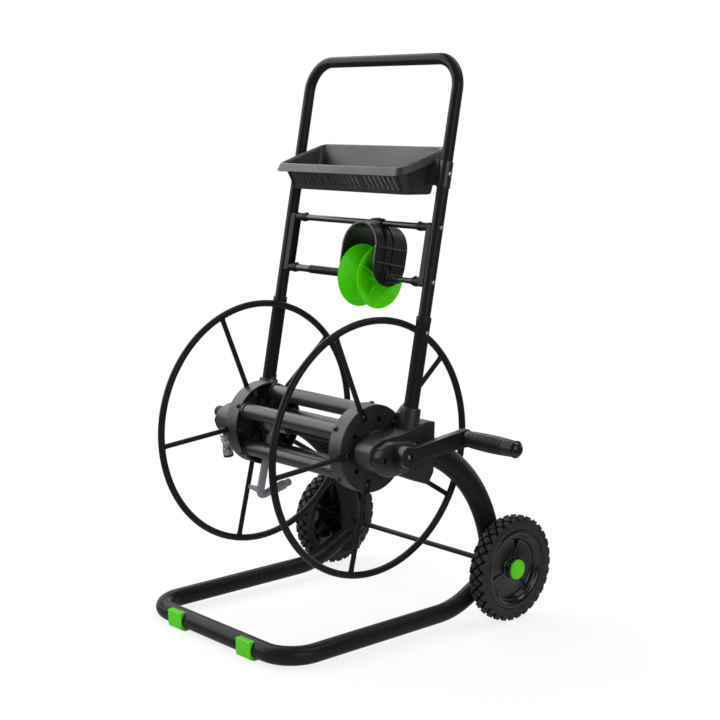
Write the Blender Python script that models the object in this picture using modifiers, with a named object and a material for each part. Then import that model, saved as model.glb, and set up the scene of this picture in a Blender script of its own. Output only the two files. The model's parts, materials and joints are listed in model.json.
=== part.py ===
# Hose reel cart: a two-wheeled steel tube frame that carries a crank-driven hose reel,
# a hose guide that slides on two cross rods, and an open tool tray under the push handle.
# Metres, +Z up. The reel's axis runs along X; the crank is on the +X side, the wheels at +Y.

import math

import bmesh
import bpy
from mathutils import Matrix, Vector

# clearances
GAP = 0.0003                      # between pieces that touch or seat
RUNNING_GAP = 0.0005              # round a shaft, rod or axle that turns or slides

# main places, measured from the reel's axis in Y and from the ground in Z
REEL_Z = 0.3737
SIDE_X = 0.2135                   # centre plane of each side of the frame
AXLE_Y = 0.2954

# wheels
WHEEL_X = 0.2658                  # middle plane of a wheel
WHEEL_RADIUS = 0.1078
TYRE_WIDTH = 0.0390
TYRE_SEAT_RADIUS = 0.0800
RIM_LIP_RADIUS = 0.0770
RIM_DISH_RADIUS = 0.0665
RIM_WIDTH = 0.0350
WEB_THICKNESS = 0.0040
WHEEL_HUB_RADIUS = 0.0190
WHEEL_HUB_OUT = 0.0165            # outer end of the hub from the middle plane
CAP_RADIUS = 0.0200
CAP_THICKNESS = 0.0045
AXLE_RADIUS = 0.0055

# base frame
BASE_RADIUS = 0.0180
BASE_FRONT_Y = -0.2377
BASE_FRONT_Z = 0.0212
BASE_CORNER_RADIUS = 0.0640
BASE_SLOPE = math.radians(1.15)
BASE_BEND_Y = 0.1450
BASE_BEND_RADIUS = 0.1900
BASE_BEND_ANGLE = math.radians(26.0)

# foot clips
CLIP_X = 0.1080
CLIP_WIDTH = 0.0420
CLIP_THICKNESS = 0.0029

# arched rear tubes, oval in section
ARCH_WIDTH = 0.0346
ARCH_DEPTH = 0.0502
ARCH_WALL = 0.0020
ARCH_RADIUS = 0.2879
ARCH_CENTRE_Z = 0.0919
ARCH_TAIL_Z = 0.0420
ARCH_TAIL_BORE = 0.0250
ARCH_TOP_Y = 0.0740

# hub brackets
BRACKET_INNER_X = 0.1910
BRACKET_OUTER_X = 0.2350
BEARING_RADIUS = 0.0240
SOCKET_WALL = 0.0050
SOCKET_TOP = 0.0790               # along the upright
SOCKET_DEPTH = 0.0685
SOCKET_BOTTOM = 0.0200
GUSSET_X = 0.2035
GUSSET_THICKNESS = 0.0220
# its outline in the upright's plane: across and along the upright
GUSSET_OUTLINE = ((0.0030, 0.0300), (0.0030, 0.0895), (-0.0100, 0.0768), (-0.0174, 0.0660),
                  (-0.0110, 0.0300))
COVER_THICKNESS = 0.0150
GROOVE_WIDTH = 0.0030
GROOVE_DEPTH = 0.0020
GROOVE_LENGTH = 0.0830
GROOVE_Y = 0.0795
GROOVE_RISE = 0.0118
BRACKET_UNIT = 0.0100             # what the outlines below are counted in
# outlines from the reel's axis: Y, Z, corner radius
BRACKET_CORNERS = (
    (-6.55, -0.95, 1.4), (-6.40, 1.80, 1.9), (-3.60, 3.15, 3.0),
    (1.40, 3.50, 8.0), (8.00, 5.15, 1.0), (10.25, 5.00, 0.4),
    (10.20, -4.90, 1.5), (8.75, -7.15, 0.9), (0.60, -4.05, 3.0),
    (-2.00, -3.95, 4.0), (-4.90, -2.75, 2.0))
COVER_CORNERS = (
    (-6.60, 0.00, 1.0), (-5.90, 1.55, 1.5), (-2.60, 2.90, 4.0),
    (3.80, 2.25, 3.0), (6.10, 0.90, 1.6), (5.30, -2.20, 2.0),
    (3.00, -3.85, 2.5), (-1.60, -4.30, 5.0), (-4.60, -3.20, 2.5),
    (-6.10, -1.40, 2.0))
# share of the thickness and of the outline, from the foot of the dome to its top
COVER_DOME = ((0.0, 1.0), (0.30, 0.975), (0.62, 0.87), (0.87, 0.68), (1.0, 0.44))

# uprights, leaning back
LEAN = math.radians(9.81)
UPRIGHT_Y = 0.0448                # where the upright's axis passes the reel's height
LOWER_RADIUS = 0.0140
LOWER_TOP = 0.2530
MIDDLE_RADIUS = 0.0117
MIDDLE_WALL = 0.0015
MIDDLE_OVERLAP = 0.0850
MIDDLE_TOP = 0.5400
HANDLE_RADIUS = 0.0112
HANDLE_TOP = 0.7429
HANDLE_BEND_RADIUS = 0.0590
SPIGOT_LENGTH = 0.0600

# tray and its collars
COLLAR_WALL = 0.0012
COLLAR_BOTTOM = 0.4978
COLLAR_TOP = 0.5465
TRAY_INSET = 0.0445               # from the side planes to the tray's floor
TRAY_HALF_WIDTH = SIDE_X - TRAY_INSET
TRAY_FLOOR_Z = REEL_Z + 0.4753
TRAY_FLOOR_FRONT = 0.0770
TRAY_FLOOR_BACK = 0.1520
TRAY_FLARE = 0.0065
TRAY_LIP_FRONT = 0.0550
TRAY_LIP_BACK = 0.1700
TRAY_LIP_FRONT_Z = TRAY_FLOOR_Z + 0.0490
TRAY_LIP_BACK_Z = TRAY_FLOOR_Z + 0.0880
TRAY_SKIRT = 0.0085
TRAY_SKIRT_DROP = 0.0140
TRAY_WALL = 0.0024
BLOCK_BOTTOM = 0.0040             # above the collar's foot
BLOCK_TOP = 0.0030                # above the collar's top, into the skirt
BLOCK_WIDTH = 0.0150
SLOT_WIDTH = 0.0038
SLOT_PITCH = 0.0133
SLOT_GROUP_PITCH = 0.1056
SLOTS_PER_GROUP = 7
SLOT_GROUPS = 3
SLOT_LENGTH = 0.0290
SLOT_SLANT = math.radians(12.0)

# hose guide: rods, side brackets, hood and roller
LOWER_BAR_S = 0.3168              # along the upright
UPPER_ROD_S = 0.4219
UPPER_ROD_RADIUS = 0.0064
BAR_RADIUS = 0.0072
RIB_RADIUS = 0.0086
RIB_PITCH = 0.0066
RIBBED_LENGTH = 0.2645
GUIDE_DEPTH = 0.0085
GUIDE_HUG = 0.0045                # how far its edges reach round the upright
GUIDE_WIDTH = 0.0188
GUIDE_WALL = 0.0020
GUIDE_MARGIN = 0.0090
BOSS_WALL = 0.0014
ROD_SEAT = 0.0012                 # floor left under a rod end in its bracket
UPPER_BOSS_X = 0.1630
LOWER_BOSS_X = 0.1720
HOOD_X = 0.0507
HOOD_WIDTH = 0.0985
HOOD_DEPTH = 0.0840
HOOD_WALL = 0.0035
HOOD_TOP = 0.4200
HOOD_DROP = 0.0170                # lowest point below the bar's axis
HOOD_RIDGE = 0.0012
HOOD_RIDGE_WIDTH = 0.0022
HOOD_RIDGE_SPACING = 0.0230
SADDLE_LENGTH = 0.0420
SADDLE_WALL = 0.0030
ROLLER_RADIUS = 0.0620
ROLLER_LENGTH = 0.0570
ROLLER_NECK = 0.0270
ROLLER_WALL = 0.0026
ROLLER_HUB_WALL = 0.0030

# reel
DISC_X = 0.1754                   # outer face of a hub disc
DISC_RADIUS = 0.0844
DISC_DEPTH = 0.0344
DISC_WEB = 0.0035
DISC_RIM_WALL = 0.0034
DISC_HUB_RADIUS = 0.0190
DRUM_TUBES = 5
DRUM_TUBE_RADIUS = 0.0160
DRUM_TUBE_WALL = 0.0015
DRUM_TUBE_CIRCLE = 0.0650
DRUM_TUBE_ANGLE = math.radians(77.75)
COLLAR_LENGTH = 0.0404
DRUM_COLLAR_WALL = 0.0020
SQUARE_HOLE = 0.0090
SQUARE_HOLE_CIRCLE = 0.0570
RING_X = 0.17185
RING_RADIUS = 0.2435
RING_TUBE_RADIUS = 0.00675
SPOKE_RADIUS = 0.0050
SPOKE_ANGLE = math.radians(41.75)
SPOKE_INNER = 0.0590
SPOKE_FLAT_LENGTH = 0.0265
SPOKE_POCKET_WALL = 0.0022
SHAFT_RADIUS = 0.0100

# water way
OUTLET_X = -0.1300
OUTLET_PIPE_RADIUS = 0.0068
OUTLET_REACH = 0.1500
OUTLET_ELBOW = 0.0120
OUTLET_ROOT = 0.0030
OUTLET_ARM_WIDTH = 0.0120
OUTLET_ARM_DEPTH = 0.0090
OUTLET_COLLAR_RADIUS = 0.0155
OUTLET_COLLAR_LENGTH = 0.0210
OUTLET_RISE = math.radians(14.0)
OUTLET_STUB = 0.0300
CONNECTOR_LENGTH = 0.0520
CONNECTOR_RADIUS = 0.0098
INLET_X = -0.3000
INLET_BARREL_RADIUS = 0.0125
INLET_TILT = math.radians(11.0)
INLET_LEG = 0.0440
INLET_LEG_RADIUS = 0.0092
INLET_CONNECTOR_LENGTH = 0.0560
INLET_CONNECTOR_RADIUS = 0.0108

# crank
CRANK_INNER_X = 0.2580
CRANK_OUTER_X = 0.2735
CRANK_HEAD_RADIUS = 0.0205
CRANK_COLLAR_RADIUS = 0.0185
CRANK_THROW_Y = 0.1500
CRANK_THROW_Z = 0.0168
CRANK_END_RADIUS = 0.0180
CRANK_NECK = 0.0300
CRANK_WIDENING = 0.0015            # on each side, from the head to the outer end
CRANK_RECESS = 0.0030
CRANK_EDGE = 0.0048
CRANK_FLANGE = 0.0014              # round the collar's foot
GRIP_END_X = 0.4090
GRIP_RADIUS = 0.0175
GRIP_ENDS_RADIUS = 0.0150
GRIP_RIBS = 9
SPINDLE_RADIUS = 0.0050
CAP_LENGTH = 0.0120

# how finely round forms are divided
WHEEL_STEPS = 24
DISC_STEPS = 24
RING_STEPS = 38
ROUND = 16
MEDIUM = 12
COARSE = 8

ALONG_X = (0.0, math.pi / 2, 0.0)            # a turned piece's Z axis laid along +X
SIDE_ON = (math.pi / 2, 0.0, math.pi / 2)    # a flat outline stood up in the Y-Z plane

BLACK_STEEL = ((0.012, 0.012, 0.013), 0.38, 0.0)
DRUM_STEEL = ((0.030, 0.030, 0.034), 0.45, 0.0)
BLACK_PLASTIC = ((0.014, 0.014, 0.015), 0.55, 0.0)
GLOSS_PLASTIC = ((0.008, 0.008, 0.009), 0.12, 0.0)
RUBBER = ((0.020, 0.020, 0.020), 0.85, 0.0)
GREEN = ((0.080, 0.450, 0.010), 0.35, 0.0)
NICKEL = ((0.620, 0.600, 0.570), 0.25, 1.0)
GREY_PLASTIC = ((0.150, 0.145, 0.170), 0.45, 0.0)


# scene set-up and general helpers

def clear_scene():
    for obj in list(bpy.data.objects):
        bpy.data.objects.remove(obj, do_unlink=True)


def new_collection(name):
    group = bpy.data.collections.new(name)
    bpy.context.scene.collection.children.link(group)
    return group


def empty(name, parent=None, at=(0.0, 0.0, 0.0), turn=(0.0, 0.0, 0.0)):
    holder = bpy.data.objects.new(name, None)
    holder.empty_display_size = 0.03
    PARTS.objects.link(holder)
    holder.parent = parent
    holder.location = at
    holder.rotation_euler = turn
    return holder


def finish_material(name, finish):
    colour, roughness, metallic = finish
    material = bpy.data.materials.new(name)
    material.use_nodes = True
    shader = material.node_tree.nodes["Principled BSDF"]
    shader.inputs["Base Color"].default_value = (*colour, 1.0)
    shader.inputs["Roughness"].default_value = roughness
    shader.inputs["Metallic"].default_value = metallic
    return material


def piece(name, mesh, finish, parent, at=(0.0, 0.0, 0.0), turn=(0.0, 0.0, 0.0)):
    obj = bpy.data.objects.new(name, mesh)
    PARTS.objects.link(obj)
    obj.parent = parent
    obj.location = at
    obj.rotation_euler = turn
    mesh.materials.clear()
    mesh.materials.append(finish_material(name + "_finish", finish))
    mesh.shade_smooth()
    mesh.set_sharp_from_angle(angle=math.radians(35))
    return obj


def helper(mesh, parent, at=(0.0, 0.0, 0.0), turn=(0.0, 0.0, 0.0)):
    obj = bpy.data.objects.new("helper", mesh)
    CUTTERS.objects.link(obj)
    obj.parent = parent
    obj.location = at
    obj.rotation_euler = turn
    obj.hide_render = True
    obj.display_type = "WIRE"
    return obj


def evaluated_mesh(obj):
    bpy.context.view_layer.update()
    graph = bpy.context.evaluated_depsgraph_get()
    mesh = bpy.data.meshes.new_from_object(obj.evaluated_get(graph))
    return mesh


def combine(obj, operation, tools):
    # joins the tools to a piece, or cuts them out of it, and keeps the result as its mesh
    for tool in tools:
        step = obj.modifiers.new(operation.lower(), "BOOLEAN")
        step.operation = operation
        step.object = tool
        mesh = evaluated_mesh(obj)
        obj.modifiers.clear()
        obj.data = clean(mesh)
        bpy.data.objects.remove(tool, do_unlink=True)
    obj.data.shade_smooth()
    obj.data.set_sharp_from_angle(angle=math.radians(35))


def join(obj, tools):
    combine(obj, "UNION", tools)


def cut(obj, tools):
    combine(obj, "DIFFERENCE", tools)


def mirrored(obj, name):
    # the same piece on the other side of the middle plane
    mesh = obj.data.copy()
    mesh.transform(Matrix.Scale(-1.0, 4, (1.0, 0.0, 0.0)) @ obj.matrix_basis)
    mesh.flip_normals()
    copy = bpy.data.objects.new(name, mesh)
    PARTS.objects.link(copy)
    copy.parent = obj.parent
    return copy


def clean(mesh, merge=0.000004):
    # merges the near doubles that a cut leaves
    work = bmesh.new()
    work.from_mesh(mesh)
    bmesh.ops.remove_doubles(work, verts=work.verts, dist=merge)
    bmesh.ops.dissolve_degenerate(work, dist=merge / 2, edges=work.edges)
    work.to_mesh(mesh)
    work.free()
    return mesh


def tidy(mesh, merge=0.00001):
    # welds loose caps and turns every face outwards
    work = bmesh.new()
    work.from_mesh(mesh)
    bmesh.ops.remove_doubles(work, verts=work.verts, dist=merge)
    bmesh.ops.recalc_face_normals(work, faces=work.faces)
    work.to_mesh(mesh)
    work.free()
    return mesh


def mesh_of_data(data, modify=None):
    # the evaluated mesh of a curve or a profile, through an object that is then removed
    holder = bpy.data.objects.new("source", data)
    CUTTERS.objects.link(holder)
    if modify:
        modify(holder)
    mesh = evaluated_mesh(holder)
    bpy.data.objects.remove(holder, do_unlink=True)
    return tidy(mesh)


# basic forms

def tube(points, radius, sides, closed=False, radii=None):
    curve = bpy.data.curves.new("path", "CURVE")
    curve.dimensions = "3D"
    spline = curve.splines.new("POLY")
    spline.points.add(len(points) - 1)
    for index, point in enumerate(points):
        spline.points[index].co = (*point, 1.0)
        if radii:
            spline.points[index].radius = radii[index]
    spline.use_cyclic_u = closed
    curve.bevel_depth = radius
    curve.bevel_resolution = (sides - 4) // 2
    curve.render_resolution_u = 0
    curve.use_fill_caps = not closed
    return mesh_of_data(curve)


def plate(outline, thickness):
    # a flat outline in its own X-Y plane, given a thickness along Z
    curve = bpy.data.curves.new("outline", "CURVE")
    curve.dimensions = "2D"
    curve.fill_mode = "BOTH"
    curve.extrude = thickness / 2
    curve.render_resolution_u = 0
    spline = curve.splines.new("POLY")
    spline.points.add(len(outline) - 1)
    for index, (u, v) in enumerate(outline):
        spline.points[index].co = (u, v, 0.0, 1.0)
    spline.use_cyclic_u = True
    return mesh_of_data(curve)


def turned(profile, steps=ROUND, closed=False):
    # a profile of (radius, height) pairs, outer side from top to bottom, turned about Z
    mesh = bpy.data.meshes.new("profile")
    corners = [(radius, 0.0, height) for radius, height in profile]
    edges = [(index, index + 1) for index in range(len(corners) - 1)]
    if closed:
        edges.append((len(corners) - 1, 0))
    mesh.from_pydata(corners, edges, [])

    def screw(holder):
        turn = holder.modifiers.new("turn", "SCREW")
        turn.angle = 2 * math.pi
        turn.steps = steps
        turn.render_steps = steps
        turn.use_merge_vertices = True
        turn.merge_threshold = 0.00001
    return mesh_of_data(mesh, screw)


def rod(radius, start, end, steps=ROUND):
    return turned([(0.0, end), (radius, end), (radius, start), (0.0, start)], steps)


def sleeve(outer, inner, start, end, steps=ROUND):
    return turned([(outer, end), (outer, start), (inner, start), (inner, end)], steps, True)


def loft(rings, cap_first=True, cap_last=True):
    # a skin through closed rings of equal count, for sections that differ in outline
    mesh = bpy.data.meshes.new("loft")
    work = bmesh.new()
    loops = [[work.verts.new(point) for point in ring] for ring in rings]
    for low, high in zip(loops, loops[1:]):
        count = len(low)
        for index in range(count):
            after = (index + 1) % count
            work.faces.new((low[index], low[after], high[after], high[index]))
    if cap_first:
        work.faces.new(loops[0])
    if cap_last:
        work.faces.new(loops[-1])
    bmesh.ops.recalc_face_normals(work, faces=work.faces)
    work.to_mesh(mesh)
    work.free()
    return mesh


def box(x, y, z):
    mesh = bpy.data.meshes.new("box")
    work = bmesh.new()
    bmesh.ops.create_cube(work, size=1.0)
    bmesh.ops.scale(work, vec=(x, y, z), verts=work.verts)
    work.to_mesh(mesh)
    work.free()
    return mesh


def rounded(corners, steps=4):
    # an outline with each corner (u, v, radius) replaced by an arc that touches both sides
    outline = []
    count = len(corners)
    for index, (u, v, radius) in enumerate(corners):
        here = Vector((u, v))
        before = (Vector(corners[index - 1][:2]) - here).normalized()
        after = (Vector(corners[(index + 1) % count][:2]) - here).normalized()
        if radius == 0.0:
            outline.append((u, v))
            continue
        half = before.angle(after) / 2
        reach = radius / math.tan(half)
        centre = here + (before + after).normalized() * (radius / math.sin(half))
        first = here + before * reach - centre
        last = here + after * reach - centre
        sweep = first.angle_signed(last)
        for step in range(steps + 1):
            spoke = first.copy()
            spoke.rotate(Matrix.Rotation(-sweep * step / steps, 2))
            outline.append(tuple(centre + spoke))
    return outline


def arc(centre_u, centre_v, radius, start, end, steps):
    points = []
    for step in range(steps + 1):
        angle = start + (end - start) * step / steps
        points.append((centre_u + radius * math.cos(angle), centre_v + radius * math.sin(angle)))
    return points


def polar(radius, angle):
    return radius * math.cos(angle), radius * math.sin(angle)


# base frame, arches and clips

def base_half():
    path = []
    for step in range(7):
        angle = math.radians(90) * step / 6
        x = SIDE_X - BASE_CORNER_RADIUS * (1 - math.sin(angle))
        y = BASE_FRONT_Y + BASE_CORNER_RADIUS * (1 - math.cos(angle))
        path.append((x, y, BASE_FRONT_Z + (y - BASE_FRONT_Y) * math.tan(BASE_SLOPE)))
    z = BASE_FRONT_Z + (BASE_BEND_Y - BASE_FRONT_Y) * math.tan(BASE_SLOPE)
    for step in range(6):
        angle = BASE_SLOPE + BASE_BEND_ANGLE * step / 5
        y_now = BASE_BEND_Y + BASE_BEND_RADIUS * (math.sin(angle) - math.sin(BASE_SLOPE))
        z_now = z + BASE_BEND_RADIUS * (math.cos(BASE_SLOPE) - math.cos(angle))
        path.append((SIDE_X, y_now, z_now))
    last_x, last_y, last_z = path[-1]
    end_y = AXLE_Y - 0.0024
    path.append((last_x, end_y, last_z + (end_y - last_y) * math.tan(BASE_SLOPE + BASE_BEND_ANGLE)))
    return path


def arch_path(extra=0.0):
    centre_y = AXLE_Y - ARCH_RADIUS
    top = math.acos((ARCH_TOP_Y - centre_y) / ARCH_RADIUS) + extra / ARCH_RADIUS
    path = []
    for step in range(15):
        angle = top * (1 - step / 14)
        y, z = polar(ARCH_RADIUS, angle)
        path.append((0.0, centre_y + y, ARCH_CENTRE_Z + z))
    path.append((0.0, AXLE_Y, ARCH_TAIL_Z - extra))
    return path


def oval_tube(width, depth, path, sides=12):
    # a round tube along a path in the Y-Z plane, narrowed across it
    mesh = tube(path, depth / 2, sides)
    mesh.transform(Matrix.Scale(width / depth, 4, (1.0, 0.0, 0.0)))
    return mesh


def make_base(cart):
    half = base_half()
    path = [(-x, y, z) for x, y, z in reversed(half)] + half
    base = piece("base_frame", tube(path, BASE_RADIUS, 12), BLACK_STEEL, cart)
    cuts = []
    for side in (-1, 1):
        # coped round the front of each arch, wide enough to take the whole end away
        wide = 2 * BASE_RADIUS + 0.0012
        cope = oval_tube(wide, ARCH_DEPTH + 2 * GAP, arch_path(0.02))
        cuts.append(helper(cope, cart, at=(side * SIDE_X, 0, 0)))
    cut(base, cuts)


def make_arches(cart):
    for side, name in ((-1, "arch_left"), (1, "arch_right")):
        mesh = oval_tube(ARCH_WIDTH, ARCH_DEPTH, arch_path())
        arch = piece(name, mesh, BLACK_STEEL, cart, at=(side * SIDE_X, 0, 0))
        bore = rod(AXLE_RADIUS + GAP, -ARCH_WIDTH, ARCH_WIDTH, COARSE)
        tail = [(0.0, AXLE_Y, ARCH_TAIL_Z + ARCH_TAIL_BORE), (0.0, AXLE_Y, ARCH_TAIL_Z - 0.01)]
        hollow = oval_tube(ARCH_WIDTH - 2 * ARCH_WALL, ARCH_DEPTH - 2 * ARCH_WALL, tail)
        cut(arch, [helper(bore, cart, at=(side * SIDE_X, AXLE_Y, WHEEL_RADIUS), turn=ALONG_X),
                   helper(hollow, cart, at=(side * SIDE_X, 0, 0))])


def make_clips(cart):
    inner = BASE_RADIUS + GAP
    outer = inner + CLIP_THICKNESS
    # flat in front and below, hooked under the tube to its back
    outline = arc(0, 0, inner, math.radians(118), math.radians(292), 12)
    outline += arc(0, 0, outer, math.radians(292), math.radians(278), 1)
    outline += [(0.006, -outer), (-0.010, -outer), (-outer * 0.93, -outer * 0.62)]
    outline += [(-outer, -outer * 0.45), (-outer, outer * 0.62), (-outer * 0.86, outer * 0.74)]
    mesh = plate(outline, CLIP_WIDTH)
    for side, name in ((-1, "foot_clip_left"), (1, "foot_clip_right")):
        at = (side * CLIP_X, BASE_FRONT_Y, BASE_FRONT_Z)
        piece(name, mesh.copy(), GREEN, cart, at=at, turn=SIDE_ON)


# hub brackets, covers, uprights and handle

def in_units(corners, unit):
    return [(u * unit, v * unit, radius * unit) for u, v, radius in corners]


def make_brackets(cart, upright):
    thickness = BRACKET_OUTER_X - BRACKET_INNER_X
    middle = (BRACKET_OUTER_X + BRACKET_INNER_X) / 2
    outline = rounded(in_units(BRACKET_CORNERS, BRACKET_UNIT))
    bracket = piece("hub_bracket_right", plate(outline, thickness), BLACK_PLASTIC,
                    cart, at=(middle, 0, REEL_Z), turn=SIDE_ON)
    socket_radius = LOWER_RADIUS + GAP + SOCKET_WALL
    socket = rod(socket_radius, SOCKET_BOTTOM, SOCKET_TOP, ROUND)
    gusset = plate(GUSSET_OUTLINE, GUSSET_THICKNESS)
    boss = rod(BEARING_RADIUS, DISC_X + 0.0006, BRACKET_INNER_X + 0.004, ROUND)
    join(bracket, [helper(socket, upright, at=(SIDE_X, 0, 0)),
                   helper(gusset, upright, at=(GUSSET_X, 0, 0), turn=SIDE_ON),
                   helper(boss, cart, at=(0, 0, REEL_Z), turn=ALONG_X)])
    groove = box(2 * GROOVE_DEPTH, GROOVE_WIDTH, GROOVE_LENGTH)
    cut(bracket, [
        helper(rod(LOWER_RADIUS + GAP, SOCKET_TOP - SOCKET_DEPTH - GAP, 2 * SOCKET_TOP, ROUND),
               upright, at=(SIDE_X, 0, 0)),
        helper(rod(SHAFT_RADIUS + RUNNING_GAP, RING_X - SPOKE_RADIUS, CRANK_INNER_X, ROUND), cart,
               at=(0, 0, REEL_Z), turn=ALONG_X),
        helper(oval_tube(ARCH_WIDTH + 2 * GAP, ARCH_DEPTH + 2 * GAP, arch_path(GAP)),
               cart, at=(SIDE_X, 0, 0)),
        helper(groove, cart, at=(BRACKET_OUTER_X, GROOVE_Y, REEL_Z + GROOVE_RISE))])
    mirrored(bracket, "hub_bracket_left")


def make_covers(cart):
    # a low dome with a teardrop outline over each bearing
    outline = rounded(in_units(COVER_CORNERS, BRACKET_UNIT), 2)
    base = BRACKET_OUTER_X + GAP
    rings = []
    for out, share in COVER_DOME:
        rings.append([(base + out * COVER_THICKNESS, y * share, REEL_Z + z * share) for y, z in outline])
    cover = piece("bearing_cover_right", loft(rings), BLACK_PLASTIC, cart)
    bore = rod(SHAFT_RADIUS + RUNNING_GAP, BRACKET_INNER_X, CRANK_OUTER_X, ROUND)
    cut(cover, [helper(bore, cart, at=(0, 0, REEL_Z), turn=ALONG_X)])
    mirrored(cover, "bearing_cover_left")


def make_uprights(upright):
    inner = MIDDLE_RADIUS + GAP
    foot = SOCKET_TOP - SOCKET_DEPTH
    lower = [(LOWER_RADIUS - 0.0010, LOWER_TOP), (LOWER_RADIUS + 0.0004, LOWER_TOP - 0.0012),
             (LOWER_RADIUS + 0.0004, LOWER_TOP - 0.0120), (LOWER_RADIUS, LOWER_TOP - 0.0135),
             (LOWER_RADIUS, foot), (inner, foot), (inner, LOWER_TOP)]
    bottom = LOWER_TOP - MIDDLE_OVERLAP
    bore = MIDDLE_RADIUS - MIDDLE_WALL
    middle = [(MIDDLE_RADIUS, MIDDLE_TOP), (MIDDLE_RADIUS, bottom), (bore, bottom), (bore, MIDDLE_TOP)]
    for side, name in ((-1, "left"), (1, "right")):
        at = (side * SIDE_X, 0, 0)
        piece("lower_upright_" + name, turned(lower, ROUND, True), BLACK_STEEL, upright, at=at)
        piece("middle_upright_" + name, turned(middle, ROUND, True), BLACK_STEEL, upright, at=at)


def make_handle(upright):
    # one bent tube whose reduced ends go down inside the middle uprights
    spigot = MIDDLE_RADIUS - MIDDLE_WALL - GAP
    share = spigot / HANDLE_RADIUS
    shoulder = MIDDLE_TOP + GAP
    half = []
    for step in range(7):
        angle = math.radians(90) * step / 6
        half.append((SIDE_X - HANDLE_BEND_RADIUS * (1 - math.sin(angle)), 0.0,
                     HANDLE_TOP - HANDLE_BEND_RADIUS * (1 - math.cos(angle))))
    half += [(SIDE_X, 0.0, shoulder + 0.0008), (SIDE_X, 0.0, shoulder),
             (SIDE_X, 0.0, shoulder - SPIGOT_LENGTH)]
    sizes = [1.0] * 8 + [share, share]
    path = [(-x, y, z) for x, y, z in reversed(half)] + half
    mesh = tube(path, HANDLE_RADIUS, 12, radii=list(reversed(sizes)) + sizes)
    piece("handle_tube", mesh, BLACK_STEEL, upright)


def make_collars(upright):
    inner = MIDDLE_RADIUS + GAP
    mesh = sleeve(inner + COLLAR_WALL, inner, COLLAR_BOTTOM, COLLAR_TOP)
    for side, name in ((-1, "tray_collar_left"), (1, "tray_collar_right")):
        piece(name, mesh.copy(), BLACK_PLASTIC, upright, at=(side * SIDE_X, 0, 0))


# tray

def tray_ring(half_x, front, back, front_z, back_z, corner):
    outline = rounded([(-half_x, front, corner), (half_x, front, corner),
                       (half_x, back, corner), (-half_x, back, corner)], 4)
    ring = []
    for x, y in outline:
        ring.append((x, y, front_z + (back_z - front_z) * (y - front) / (back - front)))
    return ring


def make_tray(cart, upright):
    lip = (TRAY_LIP_FRONT, TRAY_LIP_BACK)
    lip_half = TRAY_HALF_WIDTH + TRAY_FLARE
    skirt = (TRAY_LIP_FRONT - TRAY_SKIRT, TRAY_LIP_BACK + TRAY_SKIRT)
    rings = [
        tray_ring(TRAY_HALF_WIDTH - 0.006, TRAY_FLOOR_FRONT + 0.006, TRAY_FLOOR_BACK - 0.006,
                  TRAY_FLOOR_Z, TRAY_FLOOR_Z, 0.010),
        tray_ring(TRAY_HALF_WIDTH, TRAY_FLOOR_FRONT, TRAY_FLOOR_BACK,
                  TRAY_FLOOR_Z + 0.003, TRAY_FLOOR_Z + 0.003, 0.014),
        tray_ring(lip_half, *lip, TRAY_LIP_FRONT_Z - 0.001, TRAY_LIP_BACK_Z - 0.001, 0.012),
        tray_ring(lip_half + 0.002, lip[0] - 0.002, lip[1] + 0.002,
                  TRAY_LIP_FRONT_Z, TRAY_LIP_BACK_Z, 0.012),
        tray_ring(lip_half + TRAY_SKIRT, *skirt, TRAY_LIP_FRONT_Z - TRAY_SKIRT_DROP,
                  TRAY_LIP_BACK_Z - TRAY_SKIRT_DROP, 0.014)]
    tray = piece("tray", loft(rings, cap_last=False), BLACK_PLASTIC, cart)
    wall = tray.modifiers.new("wall", "SOLIDIFY")
    wall.thickness = TRAY_WALL
    wall.offset = 1.0
    wall.use_even_offset = True
    tray.data = evaluated_mesh(tray)
    tray.modifiers.clear()
    # side blocks that reach the collars on the uprights
    collar = MIDDLE_RADIUS + GAP + COLLAR_WALL
    reach = SIDE_X - collar - GAP
    start = TRAY_HALF_WIDTH + 0.0045
    low = COLLAR_BOTTOM + BLOCK_BOTTOM
    high = COLLAR_TOP + BLOCK_TOP
    block = box(reach - start, BLOCK_WIDTH, high - low)
    middle = (low + high) / 2
    join(tray, [helper(block.copy(), upright, at=(side * (reach + start) / 2, 0, middle))
                for side in (-1, 1)])
    # groups of slanted drain slots through the front wall
    front = Vector((0, TRAY_LIP_FRONT - TRAY_FLOOR_FRONT, TRAY_LIP_FRONT_Z - TRAY_FLOOR_Z))
    slope = math.atan2(-front.y, front.z)
    centre_y = TRAY_FLOOR_FRONT + front.y * 0.42
    centre_z = TRAY_FLOOR_Z + front.z * 0.42
    cuts = []
    for group in range(SLOT_GROUPS):
        for slot in range(SLOTS_PER_GROUP):
            x = (group - (SLOT_GROUPS - 1) / 2) * SLOT_GROUP_PITCH
            x += (slot - (SLOTS_PER_GROUP - 1) / 2) * SLOT_PITCH
            cuts.append(helper(box(SLOT_WIDTH, 0.012, SLOT_LENGTH), cart,
                               at=(x, centre_y, centre_z), turn=(slope, -SLOT_SLANT, 0)))
    cut(tray, cuts)


# hose guide

def make_guide_rods(upright):
    end = SIDE_X - MIDDLE_RADIUS - GAP - ROD_SEAT - GAP
    piece("upper_guide_rod", rod(UPPER_ROD_RADIUS, -end, end, ROUND), BLACK_STEEL,
          upright, at=(0, 0, UPPER_ROD_S), turn=ALONG_X)
    profile = [(0.0, end), (BAR_RADIUS, end)]
    ribs = int(RIBBED_LENGTH / RIB_PITCH)
    start = ribs * RIB_PITCH / 2
    for rib in range(ribs):
        top = start - rib * RIB_PITCH
        profile += [(BAR_RADIUS, top), (RIB_RADIUS, top - RIB_PITCH / 2)]
    profile += [(BAR_RADIUS, -start), (BAR_RADIUS, -end), (0.0, -end)]
    piece("ribbed_guide_bar", turned(profile, COARSE), BLACK_PLASTIC, upright,
          at=(0, 0, LOWER_BAR_S), turn=ALONG_X)


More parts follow.
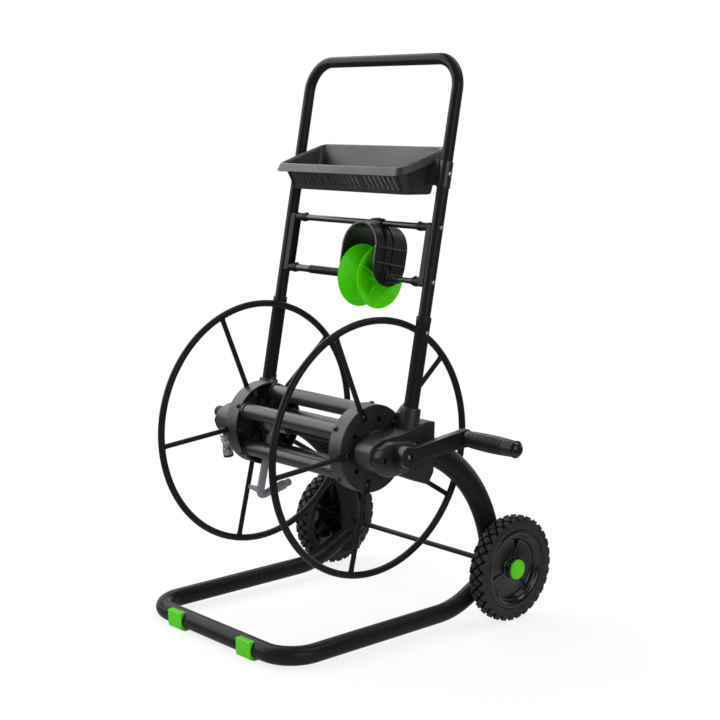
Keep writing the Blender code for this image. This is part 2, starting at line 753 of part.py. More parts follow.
def make_guide_brackets(upright):
    # its back is hollowed to the upright's round, its inner face has a pocket
    outer_x = SIDE_X - MIDDLE_RADIUS - GAP
    inner_x = outer_x - GUIDE_DEPTH
    back_x = outer_x + GUIDE_HUG
    low = LOWER_BAR_S - GUIDE_MARGIN
    high = UPPER_ROD_S + GUIDE_MARGIN
    half = GUIDE_WIDTH / 2
    outline = rounded([(-half, low, 0.004), (half, low, 0.004), (half, high, 0.008),
                       (-half, high, 0.008)], 3)
    bracket = piece("guide_bracket_right", plate(outline, back_x - inner_x), BLACK_PLASTIC, upright,
                    at=((back_x + inner_x) / 2, 0, 0), turn=SIDE_ON)
    hollow = box(GUIDE_DEPTH, GUIDE_WIDTH - 2 * GUIDE_WALL, high - low - 2 * GUIDE_WALL - 0.004)
    depth_x = inner_x + GUIDE_DEPTH / 2 - GUIDE_WALL
    seat = rod(MIDDLE_RADIUS + GAP, low - 0.01, high + 0.01, ROUND)
    cut(bracket, [helper(hollow, upright, at=(depth_x, 0, (low + high) / 2)),
                  helper(seat, upright, at=(SIDE_X, 0, 0))])
    web = outer_x - ROD_SEAT / 2
    upper_outer = UPPER_ROD_RADIUS + GAP + BOSS_WALL
    lower_outer = BAR_RADIUS + GAP + BOSS_WALL
    join(bracket, [
        helper(rod(upper_outer, UPPER_BOSS_X, web, ROUND), upright,
               at=(0, 0, UPPER_ROD_S), turn=ALONG_X),
        helper(rod(lower_outer, LOWER_BOSS_X, web, ROUND), upright,
               at=(0, 0, LOWER_BAR_S), turn=ALONG_X)])
    floor = outer_x - ROD_SEAT
    cut(bracket, [
        helper(rod(UPPER_ROD_RADIUS + GAP, 0.15, floor, ROUND), upright,
               at=(0, 0, UPPER_ROD_S), turn=ALONG_X),
        helper(rod(BAR_RADIUS + GAP, 0.15, floor, ROUND), upright,
               at=(0, 0, LOWER_BAR_S), turn=ALONG_X)])
    mirrored(bracket, "guide_bracket_left")


def strap_outline(outer_half, thickness, top, bottom):
    # an upside-down U with a half-round top, drawn across X and up the upright
    centre = top - outer_half
    inner_half = outer_half - thickness
    outline = [(outer_half, bottom)]
    outline += arc(0.0, centre, outer_half, 0.0, math.pi, 12)
    outline += [(-outer_half, bottom), (-inner_half, bottom)]
    outline += arc(0.0, centre, inner_half, math.pi, 0.0, 12)
    outline += [(inner_half, bottom)]
    return outline


def make_hood(slide):
    # the slide's origin is on the bar's axis, so heights are measured from there
    rod_z = UPPER_ROD_S - LOWER_BAR_S
    top = HOOD_TOP - LOWER_BAR_S
    upright_plane = (math.pi / 2, 0.0, 0.0)
    half = HOOD_WIDTH / 2
    hood = piece("guide_hood", plate(strap_outline(half, HOOD_WALL, top, -HOOD_DROP - 0.01), HOOD_DEPTH),
                 BLACK_PLASTIC, slide, turn=upright_plane)
    ridge = strap_outline(half + HOOD_RIDGE, HOOD_RIDGE + HOOD_WALL / 2, top + HOOD_RIDGE, -0.004)
    ridges = [helper(plate(ridge, HOOD_RIDGE_WIDTH), slide, at=(0, side * HOOD_RIDGE_SPACING / 2, 0),
                     turn=upright_plane) for side in (-1, 1)]
    saddle = UPPER_ROD_RADIUS + RUNNING_GAP + SADDLE_WALL
    ridges.append(helper(rod(saddle, -SADDLE_LENGTH / 2, SADDLE_LENGTH / 2, ROUND), slide,
                         at=(0, 0, rod_z), turn=ALONG_X))
    join(hood, ridges)
    # both legs end in a half round
    radius = HOOD_DEPTH / 2
    leg = [(radius, top + 0.05), (-radius, top + 0.05)]
    leg += arc(0.0, radius - HOOD_DROP, radius, math.pi, 2 * math.pi, 10)
    combine(hood, "INTERSECT", [helper(plate(leg, HOOD_WIDTH + 0.02), slide, turn=SIDE_ON)])
    cut(hood, [
        helper(rod(RIB_RADIUS + RUNNING_GAP, -HOOD_WIDTH, HOOD_WIDTH, ROUND), slide, turn=ALONG_X),
        helper(rod(UPPER_ROD_RADIUS + RUNNING_GAP, -HOOD_WIDTH, HOOD_WIDTH, ROUND), slide,
               at=(0, 0, rod_z), turn=ALONG_X)])


def roller_radius(out):
    # outer face of the roller at a distance from its middle
    share = out / (ROLLER_LENGTH / 2)
    return ROLLER_NECK + (ROLLER_RADIUS - ROLLER_NECK) * share ** 1.7


def make_roller(slide):
    half = ROLLER_LENGTH / 2
    bore = RIB_RADIUS + RUNNING_GAP
    hub = bore + ROLLER_HUB_WALL
    levels = [half * share for share in (0.97, 0.75, 0.5, 0.2)]
    outer = [(roller_radius(level), level) for level in levels]
    outer += [(radius, -level) for radius, level in reversed(outer)]
    inner_levels = [half * share for share in (1.0, 0.75, 0.45)]
    hollow = [(roller_radius(level) - ROLLER_WALL * 1.3, level) for level in inner_levels]
    root = inner_levels[-1] * 0.62
    rim = [(ROLLER_RADIUS - 0.0008, half)]
    top = [(bore, half), (hub, half), (hub, root)] + list(reversed(hollow)) + rim
    bottom = [(radius, -level) for radius, level in reversed(top)]
    piece("guide_roller", turned(top + outer + bottom, ROUND, True), GREEN, slide, turn=ALONG_X)


# reel

def make_disc(reel):
    # a cup with its open side towards the drum, a bearing hub and a socket for each drum tube
    inner = DISC_X - DISC_DEPTH
    web = DISC_X - DISC_WEB
    bore = SHAFT_RADIUS + GAP
    profile = [(bore, DISC_X), (DISC_RADIUS - 0.0016, DISC_X), (DISC_RADIUS, DISC_X - 0.0016),
               (DISC_RADIUS, inner), (DISC_RADIUS - DISC_RIM_WALL, inner),
               (DISC_RADIUS - DISC_RIM_WALL, web), (DISC_HUB_RADIUS, web),
               (DISC_HUB_RADIUS, inner + 0.004), (bore, inner + 0.004)]
    disc = piece("hub_disc_right", turned(profile, DISC_STEPS, True), BLACK_PLASTIC, reel, turn=ALONG_X)
    socket = DRUM_TUBE_RADIUS + GAP
    collar = socket + DRUM_COLLAR_WALL
    start = DISC_X - COLLAR_LENGTH
    sockets, holes = [], []
    for index in range(DRUM_TUBES):
        turn = 2 * math.pi * index / DRUM_TUBES
        y, z = polar(DRUM_TUBE_CIRCLE, DRUM_TUBE_ANGLE + turn)
        place = (0, y, z)
        sockets.append(helper(rod(collar, start, web + DISC_WEB / 2, MEDIUM), reel, place, ALONG_X))
        holes.append(helper(rod(socket, start - 0.01, web - 0.001, MEDIUM), reel, place, ALONG_X))
        y, z = polar(SQUARE_HOLE_CIRCLE, DRUM_TUBE_ANGLE + turn)
        holes.append(helper(box(0.05, SQUARE_HOLE, SQUARE_HOLE), reel, at=(DISC_X, y, z),
                            turn=(DRUM_TUBE_ANGLE + turn, 0, 0)))
        # a pocket open at the rim takes the flat end of each spoke
        angle = SPOKE_ANGLE + turn
        width = 2.4 * SPOKE_RADIUS + 0.0010
        depth = DISC_X - RING_X + SPOKE_RADIUS * 0.55 + GAP
        start_r = SPOKE_INNER - GAP
        wall = SPOKE_POCKET_WALL
        block_r = (start_r - wall + DISC_RADIUS - 0.001) / 2
        y, z = polar(block_r, angle)
        block = box(depth + wall, DISC_RADIUS - 0.001 - start_r + wall, width + 2 * wall)
        sockets.append(helper(block, reel, at=(DISC_X - 0.0004 - (depth + wall) / 2, y, z),
                              turn=(angle, 0, 0)))
        y, z = polar((start_r + DISC_RADIUS + 0.02) / 2, angle)
        slot = box(2 * depth, DISC_RADIUS + 0.02 - start_r, width)
        holes.append(helper(slot, reel, at=(DISC_X, y, z), turn=(angle, 0, 0)))
    join(disc, sockets)
    cut(disc, holes)
    mirrored(disc, "hub_disc_left")


def make_drum_tubes(reel):
    end = DISC_X - DISC_WEB - 0.001 - GAP
    for index in range(DRUM_TUBES):
        y, z = polar(DRUM_TUBE_CIRCLE, DRUM_TUBE_ANGLE + 2 * math.pi * index / DRUM_TUBES)
        mesh = sleeve(DRUM_TUBE_RADIUS, DRUM_TUBE_RADIUS - DRUM_TUBE_WALL, -end, end, MEDIUM)
        piece("drum_tube_" + str(index + 1), mesh, DRUM_STEEL, reel, at=(0, y, z), turn=ALONG_X)


def make_rings(reel):
    circle = [(0.0, *polar(RING_RADIUS, 2 * math.pi * step / RING_STEPS)) for step in range(RING_STEPS)]
    ring = piece("side_ring_right", tube(circle, RING_TUBE_RADIUS, 6, closed=True), BLACK_STEEL,
                 reel, at=(RING_X, 0, 0))
    spokes = []
    flat_end = SPOKE_INNER + SPOKE_FLAT_LENGTH
    for index in range(DRUM_TUBES):
        angle = SPOKE_ANGLE + 2 * math.pi * index / DRUM_TUBES
        spoke = tube([(0, 0, SPOKE_INNER), (0, 0, flat_end), (0, 0, flat_end + 0.012),
                      (0, 0, RING_RADIUS)], SPOKE_RADIUS, 6)
        for corner in spoke.vertices:
            if corner.co.z < flat_end + 0.001:
                corner.co.x *= 0.5
                corner.co.y *= 1.2
        spokes.append(helper(spoke, reel, at=(RING_X, 0, 0), turn=(angle - math.pi / 2, 0, 0)))
    join(ring, spokes)
    mirrored(ring, "side_ring_left")


def make_shaft(reel):
    end = CRANK_OUTER_X - 0.0035
    start = INLET_X - INLET_BARREL_RADIUS * 0.5
    piece("reel_shaft", rod(SHAFT_RADIUS, start, end, ROUND), NICKEL, reel, turn=ALONG_X)


def make_outlet(reel):
    # a collar on the shaft, a pipe along a spoke of the left ring, an elbow and a stub
    angle = SPOKE_ANGLE + 2 * math.pi * 3 / DRUM_TUBES
    y, z = polar(OUTLET_REACH, angle)
    collar = sleeve(OUTLET_COLLAR_RADIUS, SHAFT_RADIUS + GAP, -OUTLET_COLLAR_LENGTH / 2,
                    OUTLET_COLLAR_LENGTH / 2)
    outlet = piece("outlet_pipe", collar, GREY_PLASTIC, reel, at=(OUTLET_X, 0, 0), turn=ALONG_X)
    first_y, first_z = polar(SHAFT_RADIUS + OUTLET_ROOT, angle)
    stub_y, stub_z = polar(OUTLET_STUB, OUTLET_RISE)
    path = [(0, first_y, first_z)]
    path += [(0, *polar(OUTLET_REACH - OUTLET_ELBOW, angle))]
    path += [(0, y * 0.965 + stub_y * 0.06, z * 0.975 + stub_z * 0.06)]
    path += [(0, y + stub_y * 0.28, z + stub_z * 0.40), (0, y + stub_y, z + stub_z)]
    parts = [helper(tube(path, OUTLET_PIPE_RADIUS, 10), reel, at=(OUTLET_X, 0, 0))]
    # an arm that rests against the spoke beside it
    arm_y, arm_z = polar(OUTLET_REACH - 1.2 * OUTLET_ELBOW, angle)
    reach = OUTLET_X + RING_X - SPOKE_RADIUS - GAP
    arm = box(reach, OUTLET_ARM_WIDTH, OUTLET_ARM_DEPTH)
    parts.append(helper(arm, reel, at=(OUTLET_X - reach / 2, arm_y, arm_z), turn=(angle, 0, 0)))
    join(outlet, parts)
    tip_y, tip_z = polar(OUTLET_STUB + GAP, OUTLET_RISE)
    length = CONNECTOR_LENGTH
    r = CONNECTOR_RADIUS
    profile = [(0.0, length), (r * 0.72, length), (r * 0.80, length - 0.002), (r * 0.80, length * 0.72),
               (r, length * 0.66), (r, length * 0.16), (r * 0.86, length * 0.05), (r * 0.86, 0.0),
               (0.0, 0.0)]
    connector = piece("outlet_connector", turned(profile, COARSE), GREY_PLASTIC, reel,
                      at=(OUTLET_X, y + tip_y, z + tip_z), turn=(OUTLET_RISE - math.pi / 2, 0, 0))
    mouth = rod(r * 0.5, length * 0.6, length * 1.2, COARSE)
    cut(connector, [helper(mouth, reel, at=(OUTLET_X, y + tip_y, z + tip_z),
                           turn=(OUTLET_RISE - math.pi / 2, 0, 0))])


def make_inlet(inlet):
    # a barrel that swivels on the shaft's left end, a leg and a quick connector hanging from it
    barrel = rod(INLET_BARREL_RADIUS, -0.0480, INLET_BARREL_RADIUS, ROUND)
    for corner in barrel.vertices:
        corner.co.z = -corner.co.z
    barrel.flip_normals()
    swivel = piece("inlet_swivel", barrel, NICKEL, inlet, turn=ALONG_X)
    leg = rod(INLET_LEG_RADIUS, -INLET_LEG, 0.0, MEDIUM)
    join(swivel, [helper(leg, inlet)])
    cut(swivel, [helper(rod(SHAFT_RADIUS + RUNNING_GAP, -INLET_BARREL_RADIUS * 0.5 - GAP, 0.10, ROUND),
                        inlet, turn=ALONG_X)])
    r = INLET_CONNECTOR_RADIUS
    length = INLET_CONNECTOR_LENGTH
    top = -INLET_LEG - GAP
    profile = [(0.0, 0.0), (r * 0.78, 0.0), (r * 1.05, -length * 0.12), (r * 1.05, -length * 0.34),
               (r * 0.82, -length * 0.44), (r * 0.82, -length * 0.60), (r, -length * 0.68),
               (r, -length * 0.96), (r * 0.93, -length), (0.0, -length)]
    connector = piece("inlet_connector", turned(profile, MEDIUM), NICKEL, inlet, at=(0, 0, top))
    cut(connector, [helper(rod(r * 0.62, -length - 0.01, -length * 0.72, MEDIUM), inlet, at=(0, 0, top))])


# crank

def make_crank(reel):
    thickness = CRANK_OUTER_X - CRANK_INNER_X
    middle = (CRANK_OUTER_X + CRANK_INNER_X) / 2
    throw = math.hypot(CRANK_THROW_Y, CRANK_THROW_Z)
    slope = math.atan2(CRANK_THROW_Z, CRANK_THROW_Y)
    neck = CRANK_NECK / 2
    # drawn along the throw, head at the origin
    outline = arc(0, 0, CRANK_HEAD_RADIUS, math.radians(38), math.radians(322), 22)
    outline += [(0.026, -neck), (throw - 0.036, -neck - CRANK_WIDENING)]
    outline += arc(throw, 0, CRANK_END_RADIUS, math.radians(-112), math.radians(112), 12)
    outline += [(throw - 0.036, neck + CRANK_WIDENING), (0.026, neck)]
    stand = Matrix.Rotation(math.pi / 2, 4, "Z") @ Matrix.Rotation(math.pi / 2, 4, "X")
    turn = (Matrix.Rotation(slope, 4, "X") @ stand).to_euler()
    arm = piece("crank_arm", plate(outline, thickness), BLACK_PLASTIC, reel, at=(middle, 0, 0), turn=turn)
    start = BRACKET_OUTER_X + COVER_THICKNESS + 0.0012
    collar = rod(CRANK_COLLAR_RADIUS, start, CRANK_INNER_X + 0.002, ROUND)
    flange = rod(CRANK_COLLAR_RADIUS + CRANK_FLANGE, start, start + 0.0022, ROUND)
    join(arm, [helper(collar, reel, turn=ALONG_X), helper(flange, reel, turn=ALONG_X)])
    near = neck - CRANK_EDGE
    far = near + CRANK_WIDENING
    pocket = [(0.026, -near), (throw - 0.034, -far)]
    pocket += arc(throw - 0.034, 0, far, math.radians(-60), math.radians(60), 4)
    pocket += [(throw - 0.034, far), (0.026, near)]
    cuts = [helper(plate(pocket, 2 * CRANK_RECESS), reel, at=(CRANK_OUTER_X, 0, 0), turn=turn),
            helper(plate(pocket, 2 * CRANK_RECESS), reel, at=(CRANK_INNER_X, 0, 0), turn=turn),
            helper(rod(SHAFT_RADIUS + GAP, 0.20, CRANK_OUTER_X - 0.0035 + GAP, ROUND), reel, turn=ALONG_X),
            helper(rod(SPINDLE_RADIUS + GAP, 0.20, 0.40, COARSE), reel,
                   at=(0, CRANK_THROW_Y, CRANK_THROW_Z), turn=ALONG_X)]
    cut(arm, cuts)
    # the bolt that the grip turns on, its head behind the arm
    head = CRANK_INNER_X - GAP - 0.0035
    end = GRIP_END_X - CAP_LENGTH - 0.006
    profile = [(0.0, end), (SPINDLE_RADIUS, end), (SPINDLE_RADIUS, CRANK_INNER_X - GAP),
               (SPINDLE_RADIUS * 1.8, CRANK_INNER_X - GAP), (SPINDLE_RADIUS * 1.8, head), (0.0, head)]
    piece("grip_spindle", turned(profile, COARSE), NICKEL, reel,
          at=(0, CRANK_THROW_Y, CRANK_THROW_Z), turn=ALONG_X)


def make_grip(handle):
    start = CRANK_OUTER_X + RUNNING_GAP
    end = GRIP_END_X - CAP_LENGTH
    length = end - start
    bore = SPINDLE_RADIUS + RUNNING_GAP

    def swell(share):
        return GRIP_ENDS_RADIUS + (GRIP_RADIUS - GRIP_ENDS_RADIUS) * math.sin(math.pi * share) ** 0.8

    outer = [(GRIP_ENDS_RADIUS - 0.001, start), (GRIP_ENDS_RADIUS + 0.0006, start + 0.001)]
    for rib in range(GRIP_RIBS):
        share = 0.06 + 0.72 * rib / GRIP_RIBS
        outer.append((swell(share) - 0.0010, start + length * share))
        outer.append((swell(share + 0.03), start + length * (share + 0.03)))
    outer += [(swell(0.82), start + length * 0.82), (swell(0.9), start + length * 0.93),
              (GRIP_ENDS_RADIUS, end)]
    profile = list(reversed(outer)) + [(bore, start), (bore, end)]
    piece("crank_grip", turned(profile, MEDIUM, True), BLACK_PLASTIC, handle, turn=ALONG_X)
    r = GRIP_ENDS_RADIUS + 0.0015
    cap = [(0.0, GRIP_END_X)]
    cap += [(r * math.sin(angle), GRIP_END_X - (CAP_LENGTH - 0.004) * (1 - math.cos(angle)))
            for angle in [math.radians(90) * step / 5 for step in range(1, 6)]]
    cap += [(r, end + GAP), (0.0, end + GAP)]
    piece("crank_grip_cap", turned(cap, MEDIUM), GLOSS_PLASTIC, handle, turn=ALONG_X)


# wheels

def make_wheel(axle, side, name):
    # heights in the profiles run outwards from the wheel's middle plane
    half = TYRE_WIDTH / 2
    seat = TYRE_SEAT_RADIUS
    tyre = [(seat + 0.004, half), (seat + 0.012, half), (WHEEL_RADIUS - 0.0055, half - 0.0015),
            (WHEEL_RADIUS - 0.0012, half - 0.006), (WHEEL_RADIUS, half - 0.013)]
    tyre += [(radius, -height) for radius, height in reversed(tyre)]
    tyre += [(seat, -half + 0.004), (seat, half - 0.004)]
    turn = ALONG_X if side > 0 else (0.0, -math.pi / 2, 0.0)
    piece("wheel_tyre_" + name, turned(tyre, WHEEL_STEPS, True), RUBBER, axle, turn=turn)
    lip = RIM_WIDTH / 2
    bore = AXLE_RADIUS + RUNNING_GAP
    inner_end = WHEEL_X - SIDE_X - ARCH_WIDTH / 2 - 0.0012
    web = 0.0020
    rim = [(bore, WHEEL_HUB_OUT), (WHEEL_HUB_RADIUS, WHEEL_HUB_OUT), (WHEEL_HUB_RADIUS, web + 0.002),
           (RIM_DISH_RADIUS - 0.012, web), (RIM_DISH_RADIUS - 0.004, web + 0.002),
           (RIM_DISH_RADIUS, web + 0.007), (RIM_LIP_RADIUS - 0.005, lip - 0.002),
           (RIM_LIP_RADIUS - 0.003, lip), (seat - GAP, lip), (seat - GAP, -lip),
           (seat - GAP - 0.003, -lip), (seat - 0.0045, -0.002),
           (RIM_DISH_RADIUS - 0.004, web - WEB_THICKNESS), (WHEEL_HUB_RADIUS * 0.8, web - WEB_THICKNESS),
           (WHEEL_HUB_RADIUS * 0.8, -inner_end), (bore, -inner_end)]
    piece("wheel_rim_" + name, turned(rim, WHEEL_STEPS, True), GLOSS_PLASTIC, axle, turn=turn)
    base = WHEEL_HUB_OUT + GAP
    cap = [(0.0, base + CAP_THICKNESS), (CAP_RADIUS - 0.0018, base + CAP_THICKNESS),
           (CAP_RADIUS, base + CAP_THICKNESS - 0.0018), (CAP_RADIUS, base), (0.0, base)]
    piece("wheel_cap_" + name, turned(cap, ROUND), GREEN, axle, turn=turn)


def make_axle(cart):
    end = WHEEL_X + WHEEL_HUB_OUT - 0.0010
    piece("wheel_axle", rod(AXLE_RADIUS, -end, end, COARSE), BLACK_STEEL, cart,
          at=(0, AXLE_Y, WHEEL_RADIUS), turn=ALONG_X)


def build():
    # the origin is under the middle of the whole cart, on the ground
    left = INLET_X - INLET_BARREL_RADIUS
    front = BASE_FRONT_Y - BASE_RADIUS - GAP - CLIP_THICKNESS
    back = AXLE_Y + WHEEL_RADIUS
    cart = empty("cart", at=(-(left + GRIP_END_X) / 2, -(front + back) / 2, 0.0))
    upright = empty("upright_plane", cart, at=(0, UPRIGHT_Y, REEL_Z), turn=(-LEAN, 0, 0))
    slide = empty("hose_guide", upright, at=(HOOD_X, 0, LOWER_BAR_S))
    reel = empty("reel_axis", cart, at=(0, 0, REEL_Z))
    handle = empty("grip_axis", reel, at=(0, CRANK_THROW_Y, CRANK_THROW_Z))
    inlet = empty("inlet_axis", cart, at=(INLET_X, 0, REEL_Z), turn=(INLET_TILT, 0, 0))
    make_base(cart)
    make_arches(cart)
    make_clips(cart)
    make_axle(cart)
    make_brackets(cart, upright)
    make_covers(cart)
    make_uprights(upright)
    make_handle(upright)
    make_collars(upright)
    make_tray(cart, upright)
    make_guide_rods(upright)
    make_guide_brackets(upright)
    make_hood(slide)
    make_roller(slide)
    make_disc(reel)
    make_drum_tubes(reel)
    make_rings(reel)
    make_shaft(reel)
    make_outlet(reel)
    make_inlet(inlet)
    make_crank(reel)
    make_grip(handle)
    for side, name in ((-1, "left"), (1, "right")):
        axle = empty("wheel_axis_" + name, cart, at=(side * WHEEL_X, AXLE_Y, WHEEL_RADIUS))
        make_wheel(axle, side, name)


clear_scene()
PARTS = new_collection("hose_reel_cart")
CUTTERS = new_collection("cutters")
build()
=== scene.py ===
import json
from math import acos, atan2, copysign, cos, hypot, pi, radians, sin, sqrt, tan

import bmesh
import bpy
from bmesh.types import BMEdge, BMFace, BMVert
from mathutils import Matrix, Vector


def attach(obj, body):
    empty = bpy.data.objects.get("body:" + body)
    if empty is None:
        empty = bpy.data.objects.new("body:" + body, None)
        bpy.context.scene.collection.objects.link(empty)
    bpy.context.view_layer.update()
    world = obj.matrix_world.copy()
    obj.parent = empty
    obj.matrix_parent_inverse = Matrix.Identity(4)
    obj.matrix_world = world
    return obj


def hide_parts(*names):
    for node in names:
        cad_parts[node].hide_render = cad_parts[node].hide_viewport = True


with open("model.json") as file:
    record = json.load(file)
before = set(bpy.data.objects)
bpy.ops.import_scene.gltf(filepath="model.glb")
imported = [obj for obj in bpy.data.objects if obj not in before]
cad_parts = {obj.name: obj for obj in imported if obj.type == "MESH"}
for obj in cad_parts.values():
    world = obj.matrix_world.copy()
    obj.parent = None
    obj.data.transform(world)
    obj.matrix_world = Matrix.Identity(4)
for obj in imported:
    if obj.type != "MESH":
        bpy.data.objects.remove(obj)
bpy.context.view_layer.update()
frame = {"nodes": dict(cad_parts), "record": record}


def at(x=0.0, y=0.0, z=0.0):
    return Matrix.Translation((x, y, z))


def turn(angle, axis):
    return Matrix.Rotation(angle, 4, axis)


# the cart's own places, in metres: Y from the reel's axis, Z from the ground, X from the middle
cart = {
    "middle": (-0.04825, -0.07215, 0.0),    # where X = Y = 0 of the cart lies in the scene
    "reelHeight": 0.3737,
    "sideX": 0.2135,
    "axleY": 0.2954,
    "wheelRadius": 0.1078,
    "uprightY": 0.0448,                     # the uprights' plane at the reel's height
    "lean": radians(9.81),
}
sides = ((-1, "left"), (1, "right"))
snug = 0.0003       # gap between pieces that sit in each other
free = 0.0005       # gap round pieces that turn or slide
quarter = pi / 2
quarterTurn = [quarter * step / 4 for step in range(5)]
onCart = at(*cart["middle"])
onReel = onCart @ at(z=cart["reelHeight"])
onUpright = onCart @ at(0, cart["uprightY"], cart["reelHeight"]) @ turn(-cart["lean"], "X")
onAxle = onCart @ at(0, cart["axleY"], cart["wheelRadius"])
alongX = turn(quarter, "Y")                         # a turned piece laid on +X
sideOn = turn(quarter, "Z") @ turn(quarter, "X")    # X-Y outline to the Y-Z plane
standing = turn(quarter, "X")                       # X-Y outline to the X-Z plane


# outlines and profiles

def clamped(value):
    return min(max(value, 0.0), 1.0)


def arc(u, v, radius, start, end, steps):
    angles = [start + (end - start) * step / steps for step in range(steps + 1)]
    return [(u + radius * cos(angle), v + radius * sin(angle)) for angle in angles]


def polar(radius, angle):
    return radius * cos(angle), radius * sin(angle)


def spotAt(radius, angle, x=0.0):
    # a place round the X axis
    return at(x, *polar(radius, angle))


def rounded(corners, steps=8):
    # each corner (u, v, radius) becomes an arc that touches both sides
    outline = []
    for index, (u, v, radius) in enumerate(corners):
        here = Vector((u, v))
        before = (Vector(corners[index - 1][:2]) - here).normalized()
        after = (Vector(corners[(index + 1) % len(corners)][:2]) - here).normalized()
        half = before.angle(after) / 2
        centre = here + (before + after).normalized() * (radius / sin(half))
        first = here + before * (radius / tan(half)) - centre
        last = here + after * (radius / tan(half)) - centre
        sweep = first.angle_signed(last)
        for step in range(steps + 1):
            spoke = first.copy()
            spoke.rotate(Matrix.Rotation(-sweep * step / steps, 2))
            outline.append(tuple(centre + spoke))
    return outline


def roundRim(radius, height, rim):
    return [(radius - rim + rim * sin(a), height - rim + rim * cos(a)) for a in quarterTurn]


def grooved(radius, floor, levels, drops, unit=1.0):
    # one groove below each level, with sloping sides
    return [(out, unit * (level - drop)) for level in levels
            for out, drop in zip((radius, floor, floor, radius), (0.0, *drops))]


# forms

def only(kind, items):
    return [item for item in items if isinstance(item, kind)]


def placed(bm, *steps):
    # the first step is the outermost one
    for step in reversed(steps):
        bmesh.ops.transform(bm, matrix=step, verts=bm.verts)
    return bm


def doubled(bm, *steps):
    # a placed copy, so that the form itself can be used again
    return placed(bm.copy(), *steps)


def flipped(bm):
    # the same form on the other side of X = 0
    bmesh.ops.scale(bm, vec=(-1, 1, 1), verts=bm.verts)
    bmesh.ops.reverse_faces(bm, faces=bm.faces)
    return bm


def weld(bm):
    bmesh.ops.remove_doubles(bm, verts=bm.verts, dist=1e-6)
    bmesh.ops.recalc_face_normals(bm, faces=bm.faces)
    return bm


def spun(profile, steps=48, closed=False):
    # a profile of radius and height turned about Z
    bm = bmesh.new()
    points = [bm.verts.new((radius, 0, height)) for radius, height in profile]
    edges = [bm.edges.new(ends) for ends in zip(points, points[1:])]
    if closed:
        edges.append(bm.edges.new((points[-1], points[0])))
    bmesh.ops.spin(bm, geom=points + edges, cent=(0, 0, 0), axis=(0, 0, 1), angle=2 * pi,
                   steps=steps, use_merge=True, use_duplicate=False)
    return weld(bm)


def rod(radius, start, end, steps=32, rim=0.0):
    # a solid round bar with its rims rounded off
    if rim == 0.0:
        return spun([(0, end), (radius, end), (radius, start), (0, start)], steps)
    foot = [(radius - rim + rim * cos(a), start + rim - rim * sin(a)) for a in quarterTurn]
    return spun([(0, end)] + roundRim(radius, end, rim) + foot + [(0, start)], steps)


def sleeve(outer, inner, start, end, steps=48, rim=0.0005):
    # a round bar with a hole through it
    profile = [(outer, start + rim), (outer, end - rim), (outer - rim, end), (inner + rim, end),
               (inner, end - rim), (inner, start + rim), (inner + rim, start), (outer - rim, start)]
    return spun(profile, steps, True)


def framesAlong(path, closed):
    # one frame per point, Z along the path, turned as little as possible from one to the next
    frames, last, lean = [], None, None
    for index, point in enumerate(path):
        behind = path[index - 1] if closed or index else point
        ahead = path[(index + 1) % len(path)] if closed or index < len(path) - 1 else point
        along = (ahead - behind).normalized()
        lean = along.to_track_quat("Z", "Y") if lean is None else last.rotation_difference(along) @ lean
        last = along
        frames.append(Matrix.Translation(point) @ lean.to_matrix().to_4x4())
    return frames


def swept(path, radius, steps=28, closed=False, sizes=None):
    # a round section carried along a path
    bm = bmesh.new()
    frames = framesAlong([Vector(point) for point in path], closed)
    if sizes:
        frames = [spot @ Matrix.Scale(size, 4) for spot, size in zip(frames, sizes)]
    if closed:
        frames.append(frames[0])
    first = bmesh.ops.create_circle(bm, radius=radius, segments=steps, matrix=frames[0])["verts"]
    loop = list({edge for vert in first for edge in vert.link_edges})
    for before, after in zip(frames, frames[1:]):
        grown = bmesh.ops.extrude_edge_only(bm, edges=loop)["geom"]
        verts = only(BMVert, grown)
        bmesh.ops.transform(bm, matrix=after @ before.inverted(), verts=verts)
        ring = set(verts)
        loop = [edge for edge in only(BMEdge, grown) if ring.issuperset(edge.verts)]
    if not closed:
        bmesh.ops.edgeloop_fill(bm, edges=[edge for edge in bm.edges if edge.is_boundary])
    return weld(bm)


def bevelled(bm, geom, width, segments, affect="EDGES", clamp=False):
    bmesh.ops.bevel(bm, geom=geom, offset=width, offset_type="OFFSET", affect=affect, segments=segments,
                    profile=0.5, material=-1, clamp_overlap=clamp)
    return bm


def softened(bm, width, segments=2, over=radians(40.0)):
    # rounds every edge that turns by more than an angle
    sharp = [edge for edge in bm.edges if len(edge.link_faces) == 2 and edge.calc_face_angle(0.0) > over]
    return bevelled(bm, sharp, width, segments, clamp=True)


def slab(outline, thickness, rim=0.0, segments=2):
    # a flat outline in X-Y given a thickness along Z
    bm = bmesh.new()
    face = bm.faces.new([bm.verts.new((u, v, -thickness / 2)) for u, v in outline])
    grown = bmesh.ops.extrude_face_region(bm, geom=[face])["geom"]
    bmesh.ops.translate(bm, vec=(0, 0, thickness), verts=only(BMVert, grown))
    bmesh.ops.recalc_face_normals(bm, faces=bm.faces)
    return softened(bm, rim, segments) if rim else bm


def block(x, y, z, rim=0.0, segments=2):
    bm = bmesh.new()
    bmesh.ops.create_cube(bm, size=1.0)
    bmesh.ops.scale(bm, vec=(x, y, z), verts=bm.verts)
    return softened(bm, rim, segments) if rim else bm


